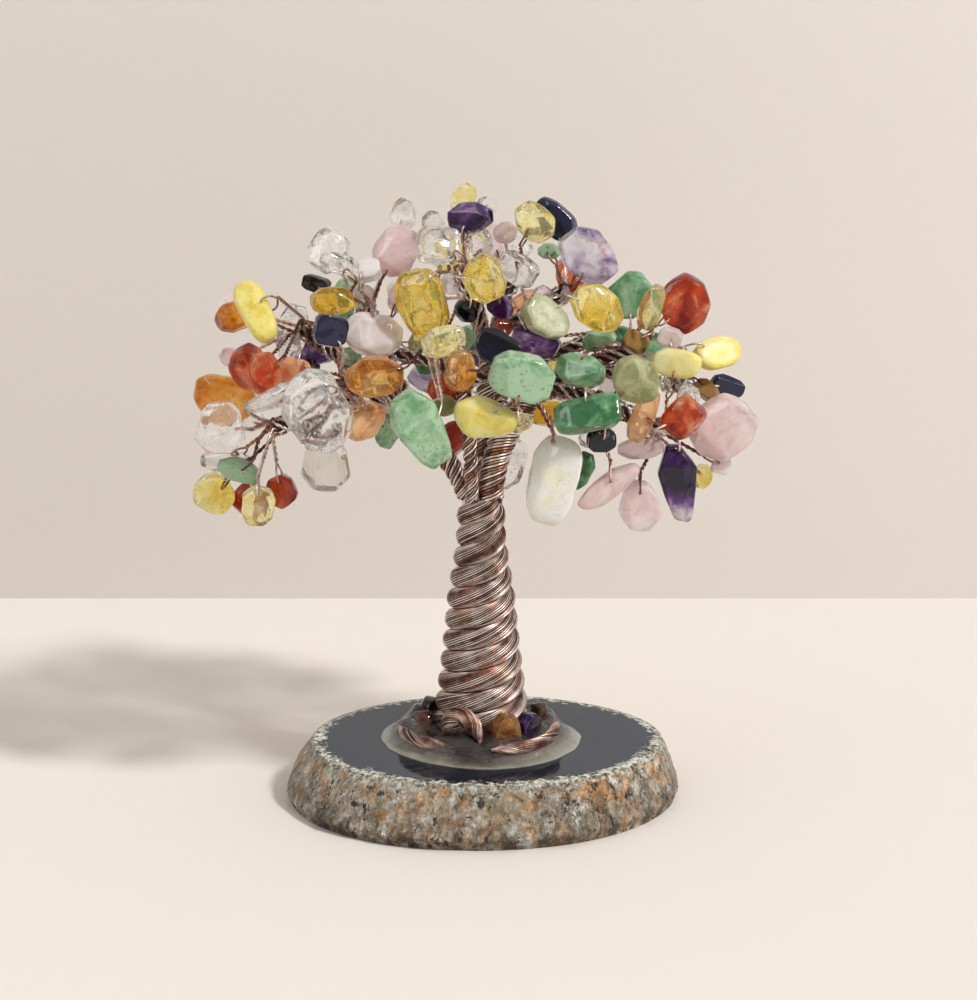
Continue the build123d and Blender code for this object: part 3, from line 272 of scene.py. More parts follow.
def smooth_path(points, step):
    """Points about one step apart on a Catmull-Rom curve through the given points.

    Between p1 and p2 the curve is ((2 p1) + (p2 - p0) t + (2 p0 - 5 p1 + 4 p2 - p3) t^2
    + (3 p1 - p0 - 3 p2 + p3) t^3) / 2, and t runs from 0 to 1.
    """
    points = np.asarray(points)
    padded = np.vstack((2 * points[0] - points[1], points, 2 * points[-1] - points[-2]))
    pieces = []
    for k in range(len(points) - 1):
        p0, p1, p2, p3 = padded[k:k + 4]
        count = max(int(np.linalg.norm(p2 - p1) / step), 1)
        t = (np.arange(count) / count)[:, None]
        pieces.append((2 * p1 + (p2 - p0) * t + (2 * p0 - 5 * p1 + 4 * p2 - p3) * t ** 2
                       + (3 * p1 - p0 - 3 * p2 + p3) * t ** 3) / 2)
    return np.vstack(pieces + [points[-1:]])


def lengths_along(path):
    """Distance along a path to each of its points."""
    return np.concatenate(([0.0], np.cumsum(np.linalg.norm(np.diff(path, axis=0), axis=1))))


def unit(vectors):
    """The vectors made one long."""
    return vectors / np.linalg.norm(vectors, axis=-1)[..., None]


def ways_of(paths):
    """The unit tangents of a path, or of several."""
    return unit(np.gradient(paths, axis=-2))


def square_to(vectors, ways):
    """Vectors less their part along the ways, made one long."""
    return unit(vectors - (vectors * ways).sum(axis=-1)[..., None] * ways)


def carried_sides(path, start=None):
    """Two sides that are carried along a path without turning about it: u, and the tangent crossed with u."""
    tangents = ways_of(path)
    side = np.array((0.0, 0.0, 1.0)) if start is None else start
    if start is None and abs(tangents[0, 2]) > 0.9:
        side = np.array((0.0, 1.0, 0.0))
    sides = np.empty_like(path)
    for k, tangent in enumerate(tangents):
        side = side - side.dot(tangent) * tangent
        side = side / np.linalg.norm(side)
        sides[k] = side
    return sides, np.cross(tangents, sides)


def rings_round(paths, u, v, radius, sides, wide=1.0, high=1.0):
    """Rings of corners: path + radius (wide cos(t) u + high sin(t) v), with t = 2 pi k / sides for corner k."""
    t = (tau * np.arange(sides) / sides)[:, None]
    return paths[..., None, :] + radius * (
        wide * np.cos(t) * u[..., None, :] + high * np.sin(t) * v[..., None, :])


def spaced(number):
    """A value from 0 to 1 for a whole number, well apart from its neighbours': the fraction of GOLDEN number."""
    return number * GOLDEN % 1.0


class Shape:
    """Points, faces and point values that are gathered for one piece."""

    def __init__(self):
        self.points, self.faces, self.kinds, self.values = [], [], [], []
        self.count = 0

    def add(self, points, faces, kind=0, value=0.0):
        """Adds points and the faces between them, with a material number and a value for the points."""
        points = np.asarray(points).reshape(-1, 3)
        self.points.append(points)
        self.faces += [[k + self.count for k in face] for face in faces]
        self.kinds += [kind] * len(faces)
        self.values.append(np.broadcast_to(np.asarray(value, float), (len(points),)))
        self.count += len(points)

    def grid(self, points, kind=0, value=0.0):
        """Adds a grid of points, rows by columns, with four-sided faces. Its last column joins its first."""
        rows, columns = points.shape[:2]
        k = np.arange(rows * columns).reshape(rows, columns)
        right = np.roll(k, -1, axis=1)
        faces = np.stack((k[:-1], right[:-1], right[1:], k[1:]), axis=-1).reshape(-1, 4)
        self.add(points, faces.tolist(), kind, value)

    def closed(self, rings, kind=0, value=0.0):
        """Adds a tube through rings of points, with one flat face over each end."""
        first, sides = self.count, rings.shape[1]
        self.grid(rings, kind, value)
        last = self.count - sides
        self.faces += [list(range(first + sides - 1, first - 1, -1)), list(range(last, last + sides))]
        self.kinds += [kind, kind]

    def tubes(self, paths, radius, sides, guides, values):
        """Adds round tubes along paths of shape (tube, point, 3), with a value for each tube.

        A ring's side u is the guide less its part along the path, and v is the path's tangent crossed with u.
        """
        tangents = ways_of(paths)
        u = square_to(guides, tangents)
        rings = rings_round(paths, u, np.cross(tangents, u), radius, sides)
        for tube, value in zip(rings, values):
            self.closed(tube, 0, value)

    def piece(self, name, materials, body, slot, nodes, hinge=None):
        """Makes the piece in the scene, on its body, in place of the CAD nodes it shows. A hinge's chip is bored."""
        mesh = bpy.data.meshes.new(name)
        mesh.from_pydata(np.vstack(self.points).tolist(), [], self.faces)
        for material in materials:
            mesh.materials.append(material)
        mesh.polygons.foreach_set("material_index", self.kinds)
        mesh.polygons.foreach_set("use_smooth", [True] * len(self.faces))
        shade = mesh.attributes.new("shade", "FLOAT", "POINT")
        shade.data.foreach_set("value", np.concatenate(self.values))
        mesh.validate()
        mesh.update()
        if hinge:
            mesh = bored(mesh, hinge)
        piece = bpy.data.objects.new(name, mesh)
        bpy.context.scene.collection.objects.link(piece)
        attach(piece, body)
        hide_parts(*nodes)


# Materials

class Look:
    """A material or a world with its node tree, and short words for the nodes that are used here.

    places are the object's coordinates, or the directions of a world, and shade is the points' value of that name.
    """

    def __init__(self, name, world=False):
        self.data = (bpy.data.worlds if world else bpy.data.materials).new(name)
        self.data.use_nodes = True
        self.tree = self.data.node_tree
        self.shader = self.tree.nodes["Background" if world else "Principled BSDF"]
        self.places = self.node("TexCoord").outputs["Generated" if world else "Object"]
        if not world:
            self.shade = self.node("Attribute", attribute_name="shade").outputs["Fac"]

    def node(self, kind, **options):
        """A new node of a kind, with its options."""
        node = self.tree.nodes.new("ShaderNode" + kind)
        for name, value in options.items():
            setattr(node, name, value)
        return node

    def feed(self, socket, value):
        """Links a socket to an output, or sets the socket's own value."""
        if isinstance(value, bpy.types.NodeSocket):
            self.tree.links.new(value, socket)
        else:
            socket.default_value = (*value, 1.0) if socket.type == "RGBA" else value

    def put(self, name, value):
        """Feeds an input of the shader."""
        self.feed(self.shader.inputs[name], value)

    def ramp(self, factor, stops):
        """A colour ramp's colour. stops are (place, (r, g, b)) pairs."""
        node = self.node("ValToRGB")
        self.feed(node.inputs["Fac"], factor)
        elements = node.color_ramp.elements
        for _ in stops[2:]:
            elements.new(0.5)
        for element, (place, colour) in zip(elements, stops):
            element.position = place
            element.color = (*colour, 1.0)
        return node.outputs["Color"]

    def mask(self, factor, start, end, last=1.0, first=0.0):
        """A grey that goes from first, where the factor is at its start, to last at its end."""
        return self.ramp(factor, [(start, (first,) * 3), (end, (last,) * 3)])

    def noise(self, scale, detail=4.0, roughness=0.55, distortion=0.0, places=None):
        """A noise texture's value."""
        node = self.node("TexNoise")
        values = (self.places if places is None else places, scale, detail, roughness, distortion)
        for name, value in zip(("Vector", "Scale", "Detail", "Roughness", "Distortion"), values):
            self.feed(node.inputs[name], value)
        return node.outputs["Fac"]

    def axes(self):
        """The places' X, Y and Z."""
        node = self.node("SeparateXYZ")
        self.feed(node.inputs[0], self.places)
        return node.outputs

    def mix(self, factor, first, second, blend="MIX"):
        """Two colours mixed by a factor."""
        node = self.node("Mix", data_type="RGBA", blend_type=blend)
        sockets = {socket.identifier: socket for socket in node.inputs}
        for name, value in (("Factor_Float", factor), ("A_Color", first), ("B_Color", second)):
            self.feed(sockets[name], value)
        return next(socket for socket in node.outputs if socket.identifier == "Result_Color")

    def maths(self, operation, *values, clamp=False):
        """A math node's value."""
        node = self.node("Math", operation=operation, use_clamp=clamp)
        for socket, value in zip(node.inputs, values):
            self.feed(socket, value)
        return node.outputs[0]

    def times(self, first, second, clamp=False):
        """One value times another."""
        return self.maths("MULTIPLY", first, second, clamp=clamp)

    def scaled(self, value, times, plus):
        """A value times a number, plus a number."""
        return self.maths("MULTIPLY_ADD", value, times, plus)

    def folds(self, middle, *noise):
        """How far a noise is from a middle value, which is 0 along thin winding sheets."""
        return self.maths("ABSOLUTE", self.maths("SUBTRACT", self.noise(*noise), middle))

    def bump(self, height, distance, strength=1.0, normal=None):
        """A bump node's normal."""
        node = self.node("Bump")
        for name, value in (("Height", height), ("Distance", distance), ("Strength", strength)):
            self.feed(node.inputs[name], value)
        if normal is not None:
            self.feed(node.inputs["Normal"], normal)
        return node.outputs["Normal"]

    def choose(self, factor, first, second, output):
        """Ends the tree in one shader, or in the second where the factor is 1."""
        node = self.node("MixShader")
        for socket, value in zip(node.inputs, (factor, first, second)):
            self.feed(socket, value)
        self.feed(self.tree.nodes[output].inputs["Surface"], node.outputs[0])


def copper():
    """Brown lacquered copper wire, made once: from wire to wire and in patches it runs from near black to pale, its
    own tone mixed with painted shine on the wires and painted shade in the gaps between them, and orange patches are
    painted glints.
    """
    if "copper_wire" in bpy.data.materials:
        return bpy.data.materials["copper_wire"]
    look = Look("copper_wire")
    patches = look.scaled(look.noise(420.0, 4.0, 0.7), 0.6, 0.2)
    # The ramp's pale end paints the wires' shine and its near-black end paints the shade between wires, besides the
    # copper's own tone.
    colour = look.ramp(look.maths("ADD", patches, look.scaled(look.shade, 0.46, -0.17)), [
        (0.30, (0.08, 0.028, 0.020)), (0.42, (0.30, 0.135, 0.095)), (0.52, (0.56, 0.415, 0.355)),
        (0.68, (0.93, 0.82, 0.75))])
    # Painted glints: orange patches that stand in for the copper's highlights.
    painted_glints = look.mask(look.noise(260.0, 4.0, 0.7), 0.53, 0.66, 0.60)
    look.put("Base Color", look.mix(painted_glints, colour, (0.66, 0.27, 0.14)))
    look.put("Metallic", 0.8)
    look.put("Coat Weight", 0.25)
    look.put("Coat Roughness", 0.20)
    grain = look.noise(2600.0, 2.0)
    look.put("Roughness", look.scaled(grain, 0.20, 0.26))
    look.put("Normal", look.bump(grain, 0.02 * MM))
    return look.data


def shadow_copper():
    """Dull dark copper, made once, for what lies between the wires: painted shade in the gaps between them."""
    if "painted_shade_copper" in bpy.data.materials:
        return bpy.data.materials["painted_shade_copper"]
    look = Look("painted_shade_copper")
    look.put("Base Color", look.ramp(look.noise(500.0), [(0.3, (0.008, 0.004, 0.003)), (0.7, (0.025, 0.012, 0.008))]))
    look.put("Roughness", 0.6)
    return look.data


GEMS = {
    # colours from dark to pale, cloud scale, light let through, roughness, milkiness, specks, veils, edge sharpness
    "citrine": (((0.78, 0.46, 0.03), (0.96, 0.78, 0.14), (1.0, 0.96, 0.62)),
        250.0, 0.88, 0.0, 0.0, 0.35, 0.7, 18),
    "amber": (((0.30, 0.050, 0.004), (0.90, 0.34, 0.030), (0.98, 0.66, 0.22)),
        170.0, 0.80, 0.01, 0.0, 0.5, 0.35, 20),
    "carnelian": (((0.22, 0.008, 0.002), (0.70, 0.080, 0.012), (1.0, 0.66, 0.36)),
        150.0, 0.66, 0.0, 0.05, 0.0, 0.1, 17),
    "rose_quartz": (((0.92, 0.69, 0.69), (1.0, 0.86, 0.85), (1.0, 0.97, 0.96)),
        180.0, 0.50, 0.05, 0.2, 0.08, 0.25, 17),
    "clear_quartz": (((0.90, 0.89, 0.87), (0.97, 0.97, 0.96), (1.0, 1.0, 1.0)),
        200.0, 0.98, 0.0, 0.0, 0.0, 0.9, 46),
    "smoky_quartz": (((0.70, 0.67, 0.64), (0.86, 0.84, 0.81), (0.95, 0.94, 0.92)),
        180.0, 0.92, 0.03, 0.0, 0.0, 0.2, 20),
    "aventurine": (((0.045, 0.16, 0.06), (0.17, 0.38, 0.18), (0.44, 0.65, 0.42)),
        200.0, 0.20, 0.02, 0.10, 0.5, 0.0, 30),
    "prehnite": (((0.27, 0.29, 0.10), (0.52, 0.53, 0.26), (0.76, 0.77, 0.52)),
        240.0, 0.42, 0.03, 0.15, 0.5, 0.1, 18),
    "amethyst": (((0.012, 0.004, 0.030), (0.15, 0.040, 0.27), (0.92, 0.88, 0.93)),
        170.0, 0.66, 0.0, 0.0, 0.0, 0.2, 30),
    "onyx": (((0.002, 0.002, 0.004), (0.004, 0.004, 0.012), (0.013, 0.013, 0.045)),
        200.0, 0.0, 0.02, 0.0, 0.0, 0.0, 26),
    "yellow_jade": (((0.84, 0.62, 0.07), (1.0, 0.86, 0.24), (1.0, 0.94, 0.54)),
        210.0, 0.26, 0.34, 0.2, 0.2, 0.25, 9),
    "pale_jade": (((0.90, 0.88, 0.50), (1.0, 0.99, 0.85), (1.0, 1.0, 0.98)),
        190.0, 0.16, 0.06, 0.3, 0.1, 0.3, 11),
    "tiger_eye": (((0.03, 0.015, 0.008), (0.11, 0.055, 0.015), (0.30, 0.17, 0.05)),
        260.0, 0.0, 0.03, 0.0, 0.0, 0.0, 22),
    "soaked_amber": (((0.05, 0.010, 0.003), (0.36, 0.10, 0.012), (0.85, 0.40, 0.06)),
        220.0, 0.75, 0.0, 0.0, 0.15, 0.3, 12),
}

# Tone of each chip from 0, dark, to 1, pale, for the nodes' chips from left to right. Others get a chance tone.
TONES = {
    "amber_chips_left": (0.6, 0.35),
    "amber_chips_middle": (0.55, 0.65),
    "amethyst_chips_middle": (0.12, 0.15, 0.3, 0.85),
    "aventurine_chips_left": (0.9, 0.6, 0.7),
    "aventurine_chips_middle": (0.8, 0.85, 0.9, 0.2),
    "aventurine_chips_right": (0.62, 0.3, 0.75, 0.3, 0.45),
    "carnelian_chips_left": (0.15, 0.6, 0.55, 0.05, 0.7, 1.0),
    "carnelian_chips_middle": (0.2, 0.3),
    "carnelian_chips_right": (1.0, 0.4, 0.3),
    "citrine_chips_left": (0.6, 0.05),
    "citrine_chips_middle": (0.35, 0.9, 0.85, 0.6, 0.65, 0.8, 0.5),
    "citrine_chips_right": (0.8, 0.5),
    "citrine_drop": (0.7,),
    "foot_amber_stones": (0.15, 0.2, 0.7, 0.2, 0.2),
    "foot_amethyst_stones": (0.2, 0.3),
    "amethyst_point": (0.0,),
    "onyx_chips_left": (0.2, 0.3, 1.0),
    "onyx_chips_middle": (0.2, 0.2, 0.9),
    "yellow_jade_chips_middle": (0.6,),
    "yellow_jade_chips_right": (0.75, 0.5),
}


# The bore of a chip that hangs and swings, and how far it is cut to each side of the hinge's place
BORE_RADIUS = 0.32 * MM
BORE_REACH = 6.0 * MM
BORE_SIDES = 16

# How much paler a node's chips grow towards their lower end
PALE_TIPS = {"amethyst_point": 3.0}


def gem_material(gem):
    """A tumbled gem: clouds of its colour shifted by each chip's tone, veils, cracks, specks and a wet polish."""
    stops, scale, through, roughness, milk, specks, veils, _ = GEMS[gem]
    dark, _, pale = stops
    look = Look(gem)
    clouds = look.noise(scale, 5.0, 0.6, 0.8)
    lean = look.scaled(look.shade, 0.42, -0.22)
    colour = look.ramp(look.maths("ADD", clouds, lean), list(zip((0.32, 0.50, 0.70), stops)))
    clear = through
    if veils:
        broken = look.mask(look.noise(scale * 2.1, 3.0, 0.7), 0.50, 0.60)
        thin = look.times(look.mask(look.folds(0.5, scale * 1.3, 3.0, 0.5, 1.5), 0.0, 0.022, 0.0, 1.0), broken)
        colour = look.mix(look.times(thin, veils * 0.6), colour, tuple(0.5 + 0.5 * c for c in pale))
        cracks = look.times(look.mask(look.folds(0.52, scale * 1.9, 4.0, 0.6, 2.0), 0.0, 0.022, 0.0, 1.0), broken)
        colour = look.mix(look.times(cracks, min(veils * 1.6, 1.0)), colour, tuple(c * 0.45 for c in dark))
        haze = look.mask(look.noise(scale * 0.8, 4.0, 0.65, 1.0), 0.46, 0.68)
        cloudy = look.maths("MAXIMUM", look.times(thin, 0.8), look.times(haze, 0.6))
        clear = look.scaled(cloudy, -veils * through * 0.8, through)
    if specks:
        dots = look.mask(look.noise(scale * 8, 2.0), 0.60, 0.68)
        few = look.times(dots, look.times(clouds, specks * 1.6))
        colour = look.mix(few, colour, tuple(c * 0.30 for c in dark))
    if gem == "tiger_eye":
        bands = look.node("TexWave")
        for name, value in (("Vector", look.places), ("Scale", 150.0), ("Distortion", 5.0)):
            look.feed(bands.inputs[name], value)
        colour = look.mix(bands.outputs["Fac"], colour, (0.30, 0.16, 0.04))
    look.put("Base Color", colour)
    look.put("Transmission Weight", clear)
    look.put("IOR", 1.50)
    look.put("Specular IOR Level", 0.14 if gem == "yellow_jade" else 0.5)
    look.put("Subsurface Weight", milk)
    look.put("Subsurface Radius", (1.0, 0.8, 0.6))
    look.put("Subsurface Scale", 2.0 * MM)
    pits = look.noise(900.0, 3.0)
    look.put("Roughness", look.scaled(pits, 0.06, roughness))
    fine = look.bump(pits, 0.02 * MM)
    look.put("Normal", look.bump(look.noise(230.0, 1.0), 0.30 * MM, 0.18 if through > 0.9 else 0.7, fine))
    return look.data


def crystal_white(look):
    """The pale greenish crystals along the slice's upper edge, with dark nicks between them."""
    return look.ramp(look.noise(1100.0, 5.0, 0.72), [
        (0.40, (0.022, 0.022, 0.024)), (0.46, (0.28, 0.27, 0.21)), (0.53, (0.60, 0.59, 0.47)),
        (0.62, (0.92, 0.92, 0.88))])


def face_material():
    """The slice's polished face: dark slate agate, faintly clouded, with pale ragged crystals along its rim."""
    look = Look("polished_face")
    colour = look.ramp(look.noise(60.0), [(0.3, (0.008, 0.010, 0.017)), (0.7, (0.017, 0.020, 0.032))])
    crystals = look.noise(440.0, 5.0, 0.72, 0.6)
    ragged = look.maths("ADD", look.scaled(crystals, 2.0, -0.52), look.shade)
    rim = look.times(look.mask(ragged, 0.97, 1.00), look.mask(look.shade, 0.30, 0.38))
    look.put("Base Color", look.mix(rim, colour, crystal_white(look)))
    look.put("Roughness", look.scaled(rim, 0.30, 0.06))
    look.put("Normal", look.bump(look.times(rim, crystals), 0.6 * MM))
    return look.data


def rind_material():
    """The slice's rough edge: grey and blue-white grit, orange patches, black freckles and pits, painted shade in its
    hollows, darker and browner towards its foot.

    The noise is drawn out upward, as the crystals stand in the stone.
    """
    look = Look("rough_rind")
    drawn = look.node("Mapping")
    look.feed(drawn.inputs["Vector"], look.places)
    look.feed(drawn.inputs["Scale"], (1.0, 1.0, 0.62))
    upright = drawn.outputs["Vector"]
    height = look.axes()["Z"]
    grit = look.noise(620.0, 7.0, 0.72, 0.5, upright)
    stone = look.ramp(grit, [(0.34, (0.045, 0.036, 0.028)), (0.42, (0.27, 0.215, 0.145)), (0.50, (0.50, 0.41, 0.29)),
                             (0.57, (0.60, 0.60, 0.56)), (0.65, (0.93, 0.94, 0.92))])
    rust = look.ramp(grit, [(0.34, (0.16, 0.050, 0.012)), (0.48, (0.56, 0.24, 0.060)), (0.62, (0.82, 0.50, 0.20))])
    colour = look.mix(look.mask(look.noise(210.0, 5.0, 0.68, 1.2, upright), 0.49, 0.62, 0.9), stone, rust)
    colour = look.mix(look.mask(look.noise(130.0, 4.0, 0.6), 0.50, 0.66, 0.55), colour, (0.30, 0.26, 0.14))
    ragged = look.times(look.noise(480.0, 5.0, 0.75), 1.5)
    crest = look.maths("ADD", look.scaled(height, 340.0, -3.62), ragged)
    colour = look.mix(look.mask(crest, 0.42, 0.60, 0.85), colour, crystal_white(look))
    patchy = look.mask(look.noise(300.0, 5.0, 0.75, 0.0, upright), 0.40, 0.60)
    # Darker and browner towards the foot, in patches.
    darker_foot = look.times(look.times(look.scaled(height, -140.0, 1.42), patchy), 0.95, clamp=True)
    colour = look.mix(darker_foot, colour, (0.10, 0.068, 0.040))
    specks = look.mask(look.noise(460.0, 5.0, 0.8, 0.0, upright), 0.408, 0.433, 0.0, 1.0)
    colour = look.mix(specks, colour, (0.010, 0.009, 0.008))
    # Painted shade: the colour is darkened in the rind's hollows, where its point value is low.
    colour = look.mix(1.0, colour, look.mask(look.shade, 0.15, 0.50, 1.0, 0.30), "MULTIPLY")
    hairs = look.mask(look.noise(1900.0, 4.0, 0.8, 1.0, upright), 0.38, 0.52, 1.0, 0.50)
    look.put("Base Color", look.mix(1.0, colour, hairs, "MULTIPLY"))
    look.put("Roughness", 0.42)
    grains = look.node("TexVoronoi")
    look.feed(grains.inputs["Vector"], look.places)
    look.feed(grains.inputs["Scale"], 1100.0)
    look.put("Normal", look.bump(grains.outputs["Distance"], 0.3 * MM, 0.7, look.bump(grit, 0.7 * MM)))
    return look.data


def resin_material():
    """Clear set resin with a greenish grey cast, brown from the wires in its middle, and a pale rim that is a painted
    highlight.
    """
    look = Look("set_resin")
    clouds = look.noise(180.0)
    cast = look.ramp(clouds, [(0.3, (0.50, 0.48, 0.38)), (0.7, (0.84, 0.80, 0.68))])
    brown = look.ramp(clouds, [(0.3, (0.16, 0.075, 0.045)), (0.7, (0.58, 0.38, 0.26))])
    # Painted highlight: a pale rim where the point value is near 0, on the resin's edge.
    pale = look.mask(look.shade, 0.0, 0.05, 0.0, 0.55)
    look.put("Base Color", look.mix(pale, look.mix(look.shade, cast, brown), (0.84, 0.82, 0.75)))
    look.put("Transmission Weight", look.scaled(look.shade, 0.44, 0.50))
    look.put("IOR", 1.5)
    look.put("Roughness", 0.03)
    waves = look.times(look.noise(420.0, 4.0, 0.6), look.scaled(look.shade, 0.9, 0.1))
    look.put("Normal", look.bump(waves, 1.6 * MM))
    return look.data


def plain_look(name, left, right, top_light=1.0):
    """A dull surface that goes from one colour at the left to another at the right, and is lifted towards its top; on
    the wall the darker left, lighter right and lighter top are painted shade and painted light.
    """
    look = Look(name)
    axes = look.axes()
    place = look.maths("ADD", look.scaled(axes["X"], 4.2, 0.5), look.scaled(look.noise(6.0, 3.0), 0.12, -0.06))
    low, high = (look.ramp(place, [(0.0, tuple(c * share for c in left)), (1.0, tuple(c * share for c in right))])
                 for share in (1.0, top_light))
    look.put("Base Color", look.mix(look.times(axes["Z"], 1 / WALL_PAINTED_LIGHT_HEIGHT, clamp=True), low, high))
    look.put("Roughness", 0.9)
    look.put("Specular IOR Level", 0.1)
    return look


# Ropes and wires

def strand_count(radius, wire_radius):
    """How many wires lie side by side round a strand of a radius."""
    return max(int(tau * (radius - wire_radius) / (WIRE_SPACING * wire_radius)), 3)


def lay_wires(shape, path, sides_of_path, reach, count, wire_radius, turn, sides, seed, palest=1.0):
    """Lays wires round a path: wire k is at path + a cos(t) N + b sin(t) B, with t = 2 pi (k / count + s / turn).

    N and B are the path's two sides, and a and b the reach to each side.
    """
    normals, others = sides_of_path
    t = tau * (np.arange(count)[:, None] / count + lengths_along(path) / turn)
    a, b = (np.broadcast_to(np.asarray(r), len(path))[None, :, None] for r in reach)
    out = a * np.cos(t)[..., None] * normals + b * np.sin(t)[..., None] * others
    shape.tubes(path + out, wire_radius, sides, out, np.random.default_rng(seed).uniform(0, palest, count))


def rope(shape, route, radii, strands, wires, wire_radius, turn, pair_turn, step):
    """A rope of strands laid round a route, each strand one wire or several laid round it.

    Strand k's middle is at route + (R - r) (cos(a) N + sin(a) B) with a = 2 pi (k / strands + s / turn), where
    R is the rope's radius and r the strand's. Its wires lie round it with their own turn.
    """
    path = smooth_path(route, step)
    length = lengths_along(path)
    width = np.interp(length, lengths_along(route), radii)
    normals, others = carried_sides(path)
    full = wires >= len(PACKED_REACH)
    strand = width * STRAND_SHARE if full else np.full(len(path), wire_radius + wire_radius * PACKED_REACH[wires])
    spot = strand - wire_radius
    for k in range(strands):
        a = (tau * (k / strands + length / turn))[:, None]
        out = np.cos(a) * normals + np.sin(a) * others
        middle = path + out * (width - strand)[:, None]
        ways = ways_of(middle)
        out = square_to(out, ways)
        lay_wires(shape, middle, (out, np.cross(ways, out)), (spot, spot), wires, wire_radius, pair_turn, 6, k)
        if full:
            plain_tube(shape, middle, strand * INNER_SHARE)


def plain_tube(shape, path, width, sides=10):
    """A dark round tube inside a rope or strand that closes the view between its wires; its dark colour is painted
    shade.
    """
    shape.closed(rings_round(path, *carried_sides(path), np.asarray(width)[:, None, None], sides), 1)


def filler(shape, route, radii, share, step, sides=10):
    """A plain tube along a route, as wide as a share of its radii."""
    path = smooth_path(route, step)
    plain_tube(shape, path, np.interp(lengths_along(path), lengths_along(route), radii) * share, sides)


def fork_crown(shape, route, radius, wire_radius, turn):
    """Wires that close the fork between the limbs: laid round the core's top end and drawn in over it.

    Their reach is radius sqrt(1 - t^4), with t from 0 at the crown's foot to 1 at its tip, where a seventh is left.
    """
    way = route[-1] - route[-2]
    way = way / np.linalg.norm(way)
    t = np.linspace(0, 1, int((FORK_DROP + FORK_RISE) / FORK_STEP))[:, None]
    path = route[-1] + way * (t * (FORK_DROP + FORK_RISE) - FORK_DROP)
    reach = radius * np.sqrt(np.clip(1 - t[:, 0] ** 4, 0.02, 1))
    lay_wires(shape, path, carried_sides(path), (reach, reach), strand_count(radius, wire_radius), wire_radius, turn,
              5, FORK_SEED)


def wound_band(shape, route, wire_radius, turn):
    """A trunk bundle: wires laid round its route on an oval that is high enough to touch the bands over and under it.

    The route goes on past its end for a share of a turn, at nine tenths of its rise, and dives inward as it stops.
    """
    centre = np.arctan2(route[:, 1], route[:, 0])
    step_angle = (centre[-1] - centre[-2] + pi) % tau - pi
    rise = route[-1, 2] - route[-2, 2]
    reach = np.hypot(route[-1, 0], route[-1, 1])
    more = np.arange(1, TAIL_STEPS + 1)[:, None]
    angle = centre[-1] + step_angle * more
    far = reach * (1.0 - 0.15 * np.clip(more - TAIL_STEPS + 4, 0, 4))
    tail = np.hstack((far * np.cos(angle), far * np.sin(angle), route[-1, 2] + rise * more * 0.9))
    path = smooth_path(np.vstack((route, tail)), BAND_STEP)
    ways = ways_of(path)
    out = square_to(path * (1.0, 1.0, 0.0), ways)
    deep, high = BAND_DEPTH / 2, BAND_HEIGHT / 2
    across = np.cross(ways, out)
    count = strand_count((deep + high) / 2, wire_radius)
    seed = int(abs(route[0, 0]) * 1e6) + int(route[0, 0] > 0)
    lay_wires(shape, path, (out, across), (deep - wire_radius, high - wire_radius), count, wire_radius, turn, 5, seed)
    # The band's dark inner tube is painted shade between its wires.
    shape.closed(rings_round(path, out, across, INNER_SHARE, 12, deep, high), 1)


def looped_wire(route, wire_radius, turn, step):
    """The path of a wire that is bent double, twisted on itself, and looped through its chip.

    The first half of the route and its mirrored second half are the two legs. Up to the throat they
    become (first + second) / 2 plus and minus a half gap that turns a whole number of half turns more.
    """
    half = len(route) // 2
    first, second = route[:half], route[half:][::-1]
    middle = smooth_path((first + second)[:4] / 2, step)
    length = lengths_along(middle)
    normals, others = carried_sides(middle, first[0] - second[0])
    end = first[3] - second[3]
    bearing = np.arctan2(end.dot(others[-1]), end.dot(normals[-1]))
    turns = np.round(length[-1] / turn * 2) / 2
    angle = (bearing % pi + pi * np.round(2 * turns)) * length / length[-1]
    apart = (wire_radius * PAIR_GAP) * (np.cos(angle)[:, None] * normals + np.sin(angle)[:, None] * others)
    flip = 1.0 if apart[-1].dot(end) > 0 else -1.0
    over = [middle[-1] + flip * apart[-1], first[4], first[5], second[5], second[4], middle[-1] - flip * apart[-1]]
    over = round_loop(over, step / 2)
    return np.vstack((middle + flip * apart, over[1:-1], (middle - flip * apart)[::-1]))


def round_loop(points, step):
    """A loop through its points with each corner cut by a curve that leaves the middles of its sides."""
    points = np.asarray(points)
    mids = (points[1:] + points[:-1]) / 2
    pieces = [points[:1]]
    for a, corner, b in zip(mids[:-1], points[1:-1], mids[1:]):
        count = max(int((np.linalg.norm(corner - a) + np.linalg.norm(b - corner)) / step), 3)
        t = (np.arange(count) / count)[:, None]
        pull = corner + 0.35 * (corner - (a + b) / 2)
        pieces.append((1 - t) ** 2 * a + 2 * t * (1 - t) * pull + t ** 2 * b)
    return np.vstack(pieces + [mids[-1:], points[-1:]])


# Chips

def ball_directions(count):
    """Directions over a ball from the six sides of a cube, each a grid of count by count cells.

    A side's point (1, tan(pi u / 4), tan(pi v / 4)) is made one long, with u and v from -1 to 1.
    """
    line = np.tan(np.linspace(-pi / 4, pi / 4, count + 1))
    u, v = np.meshgrid(line, line, indexing="ij")
    one = np.ones_like(u)
    grids = []
    for axis in range(3):
        for sign in (-1.0, 1.0):
            side = np.stack((sign * one, sign * u, v), axis=-1)
            grids.append(np.roll(side, axis, axis=-1))
    return unit(np.stack(grids))


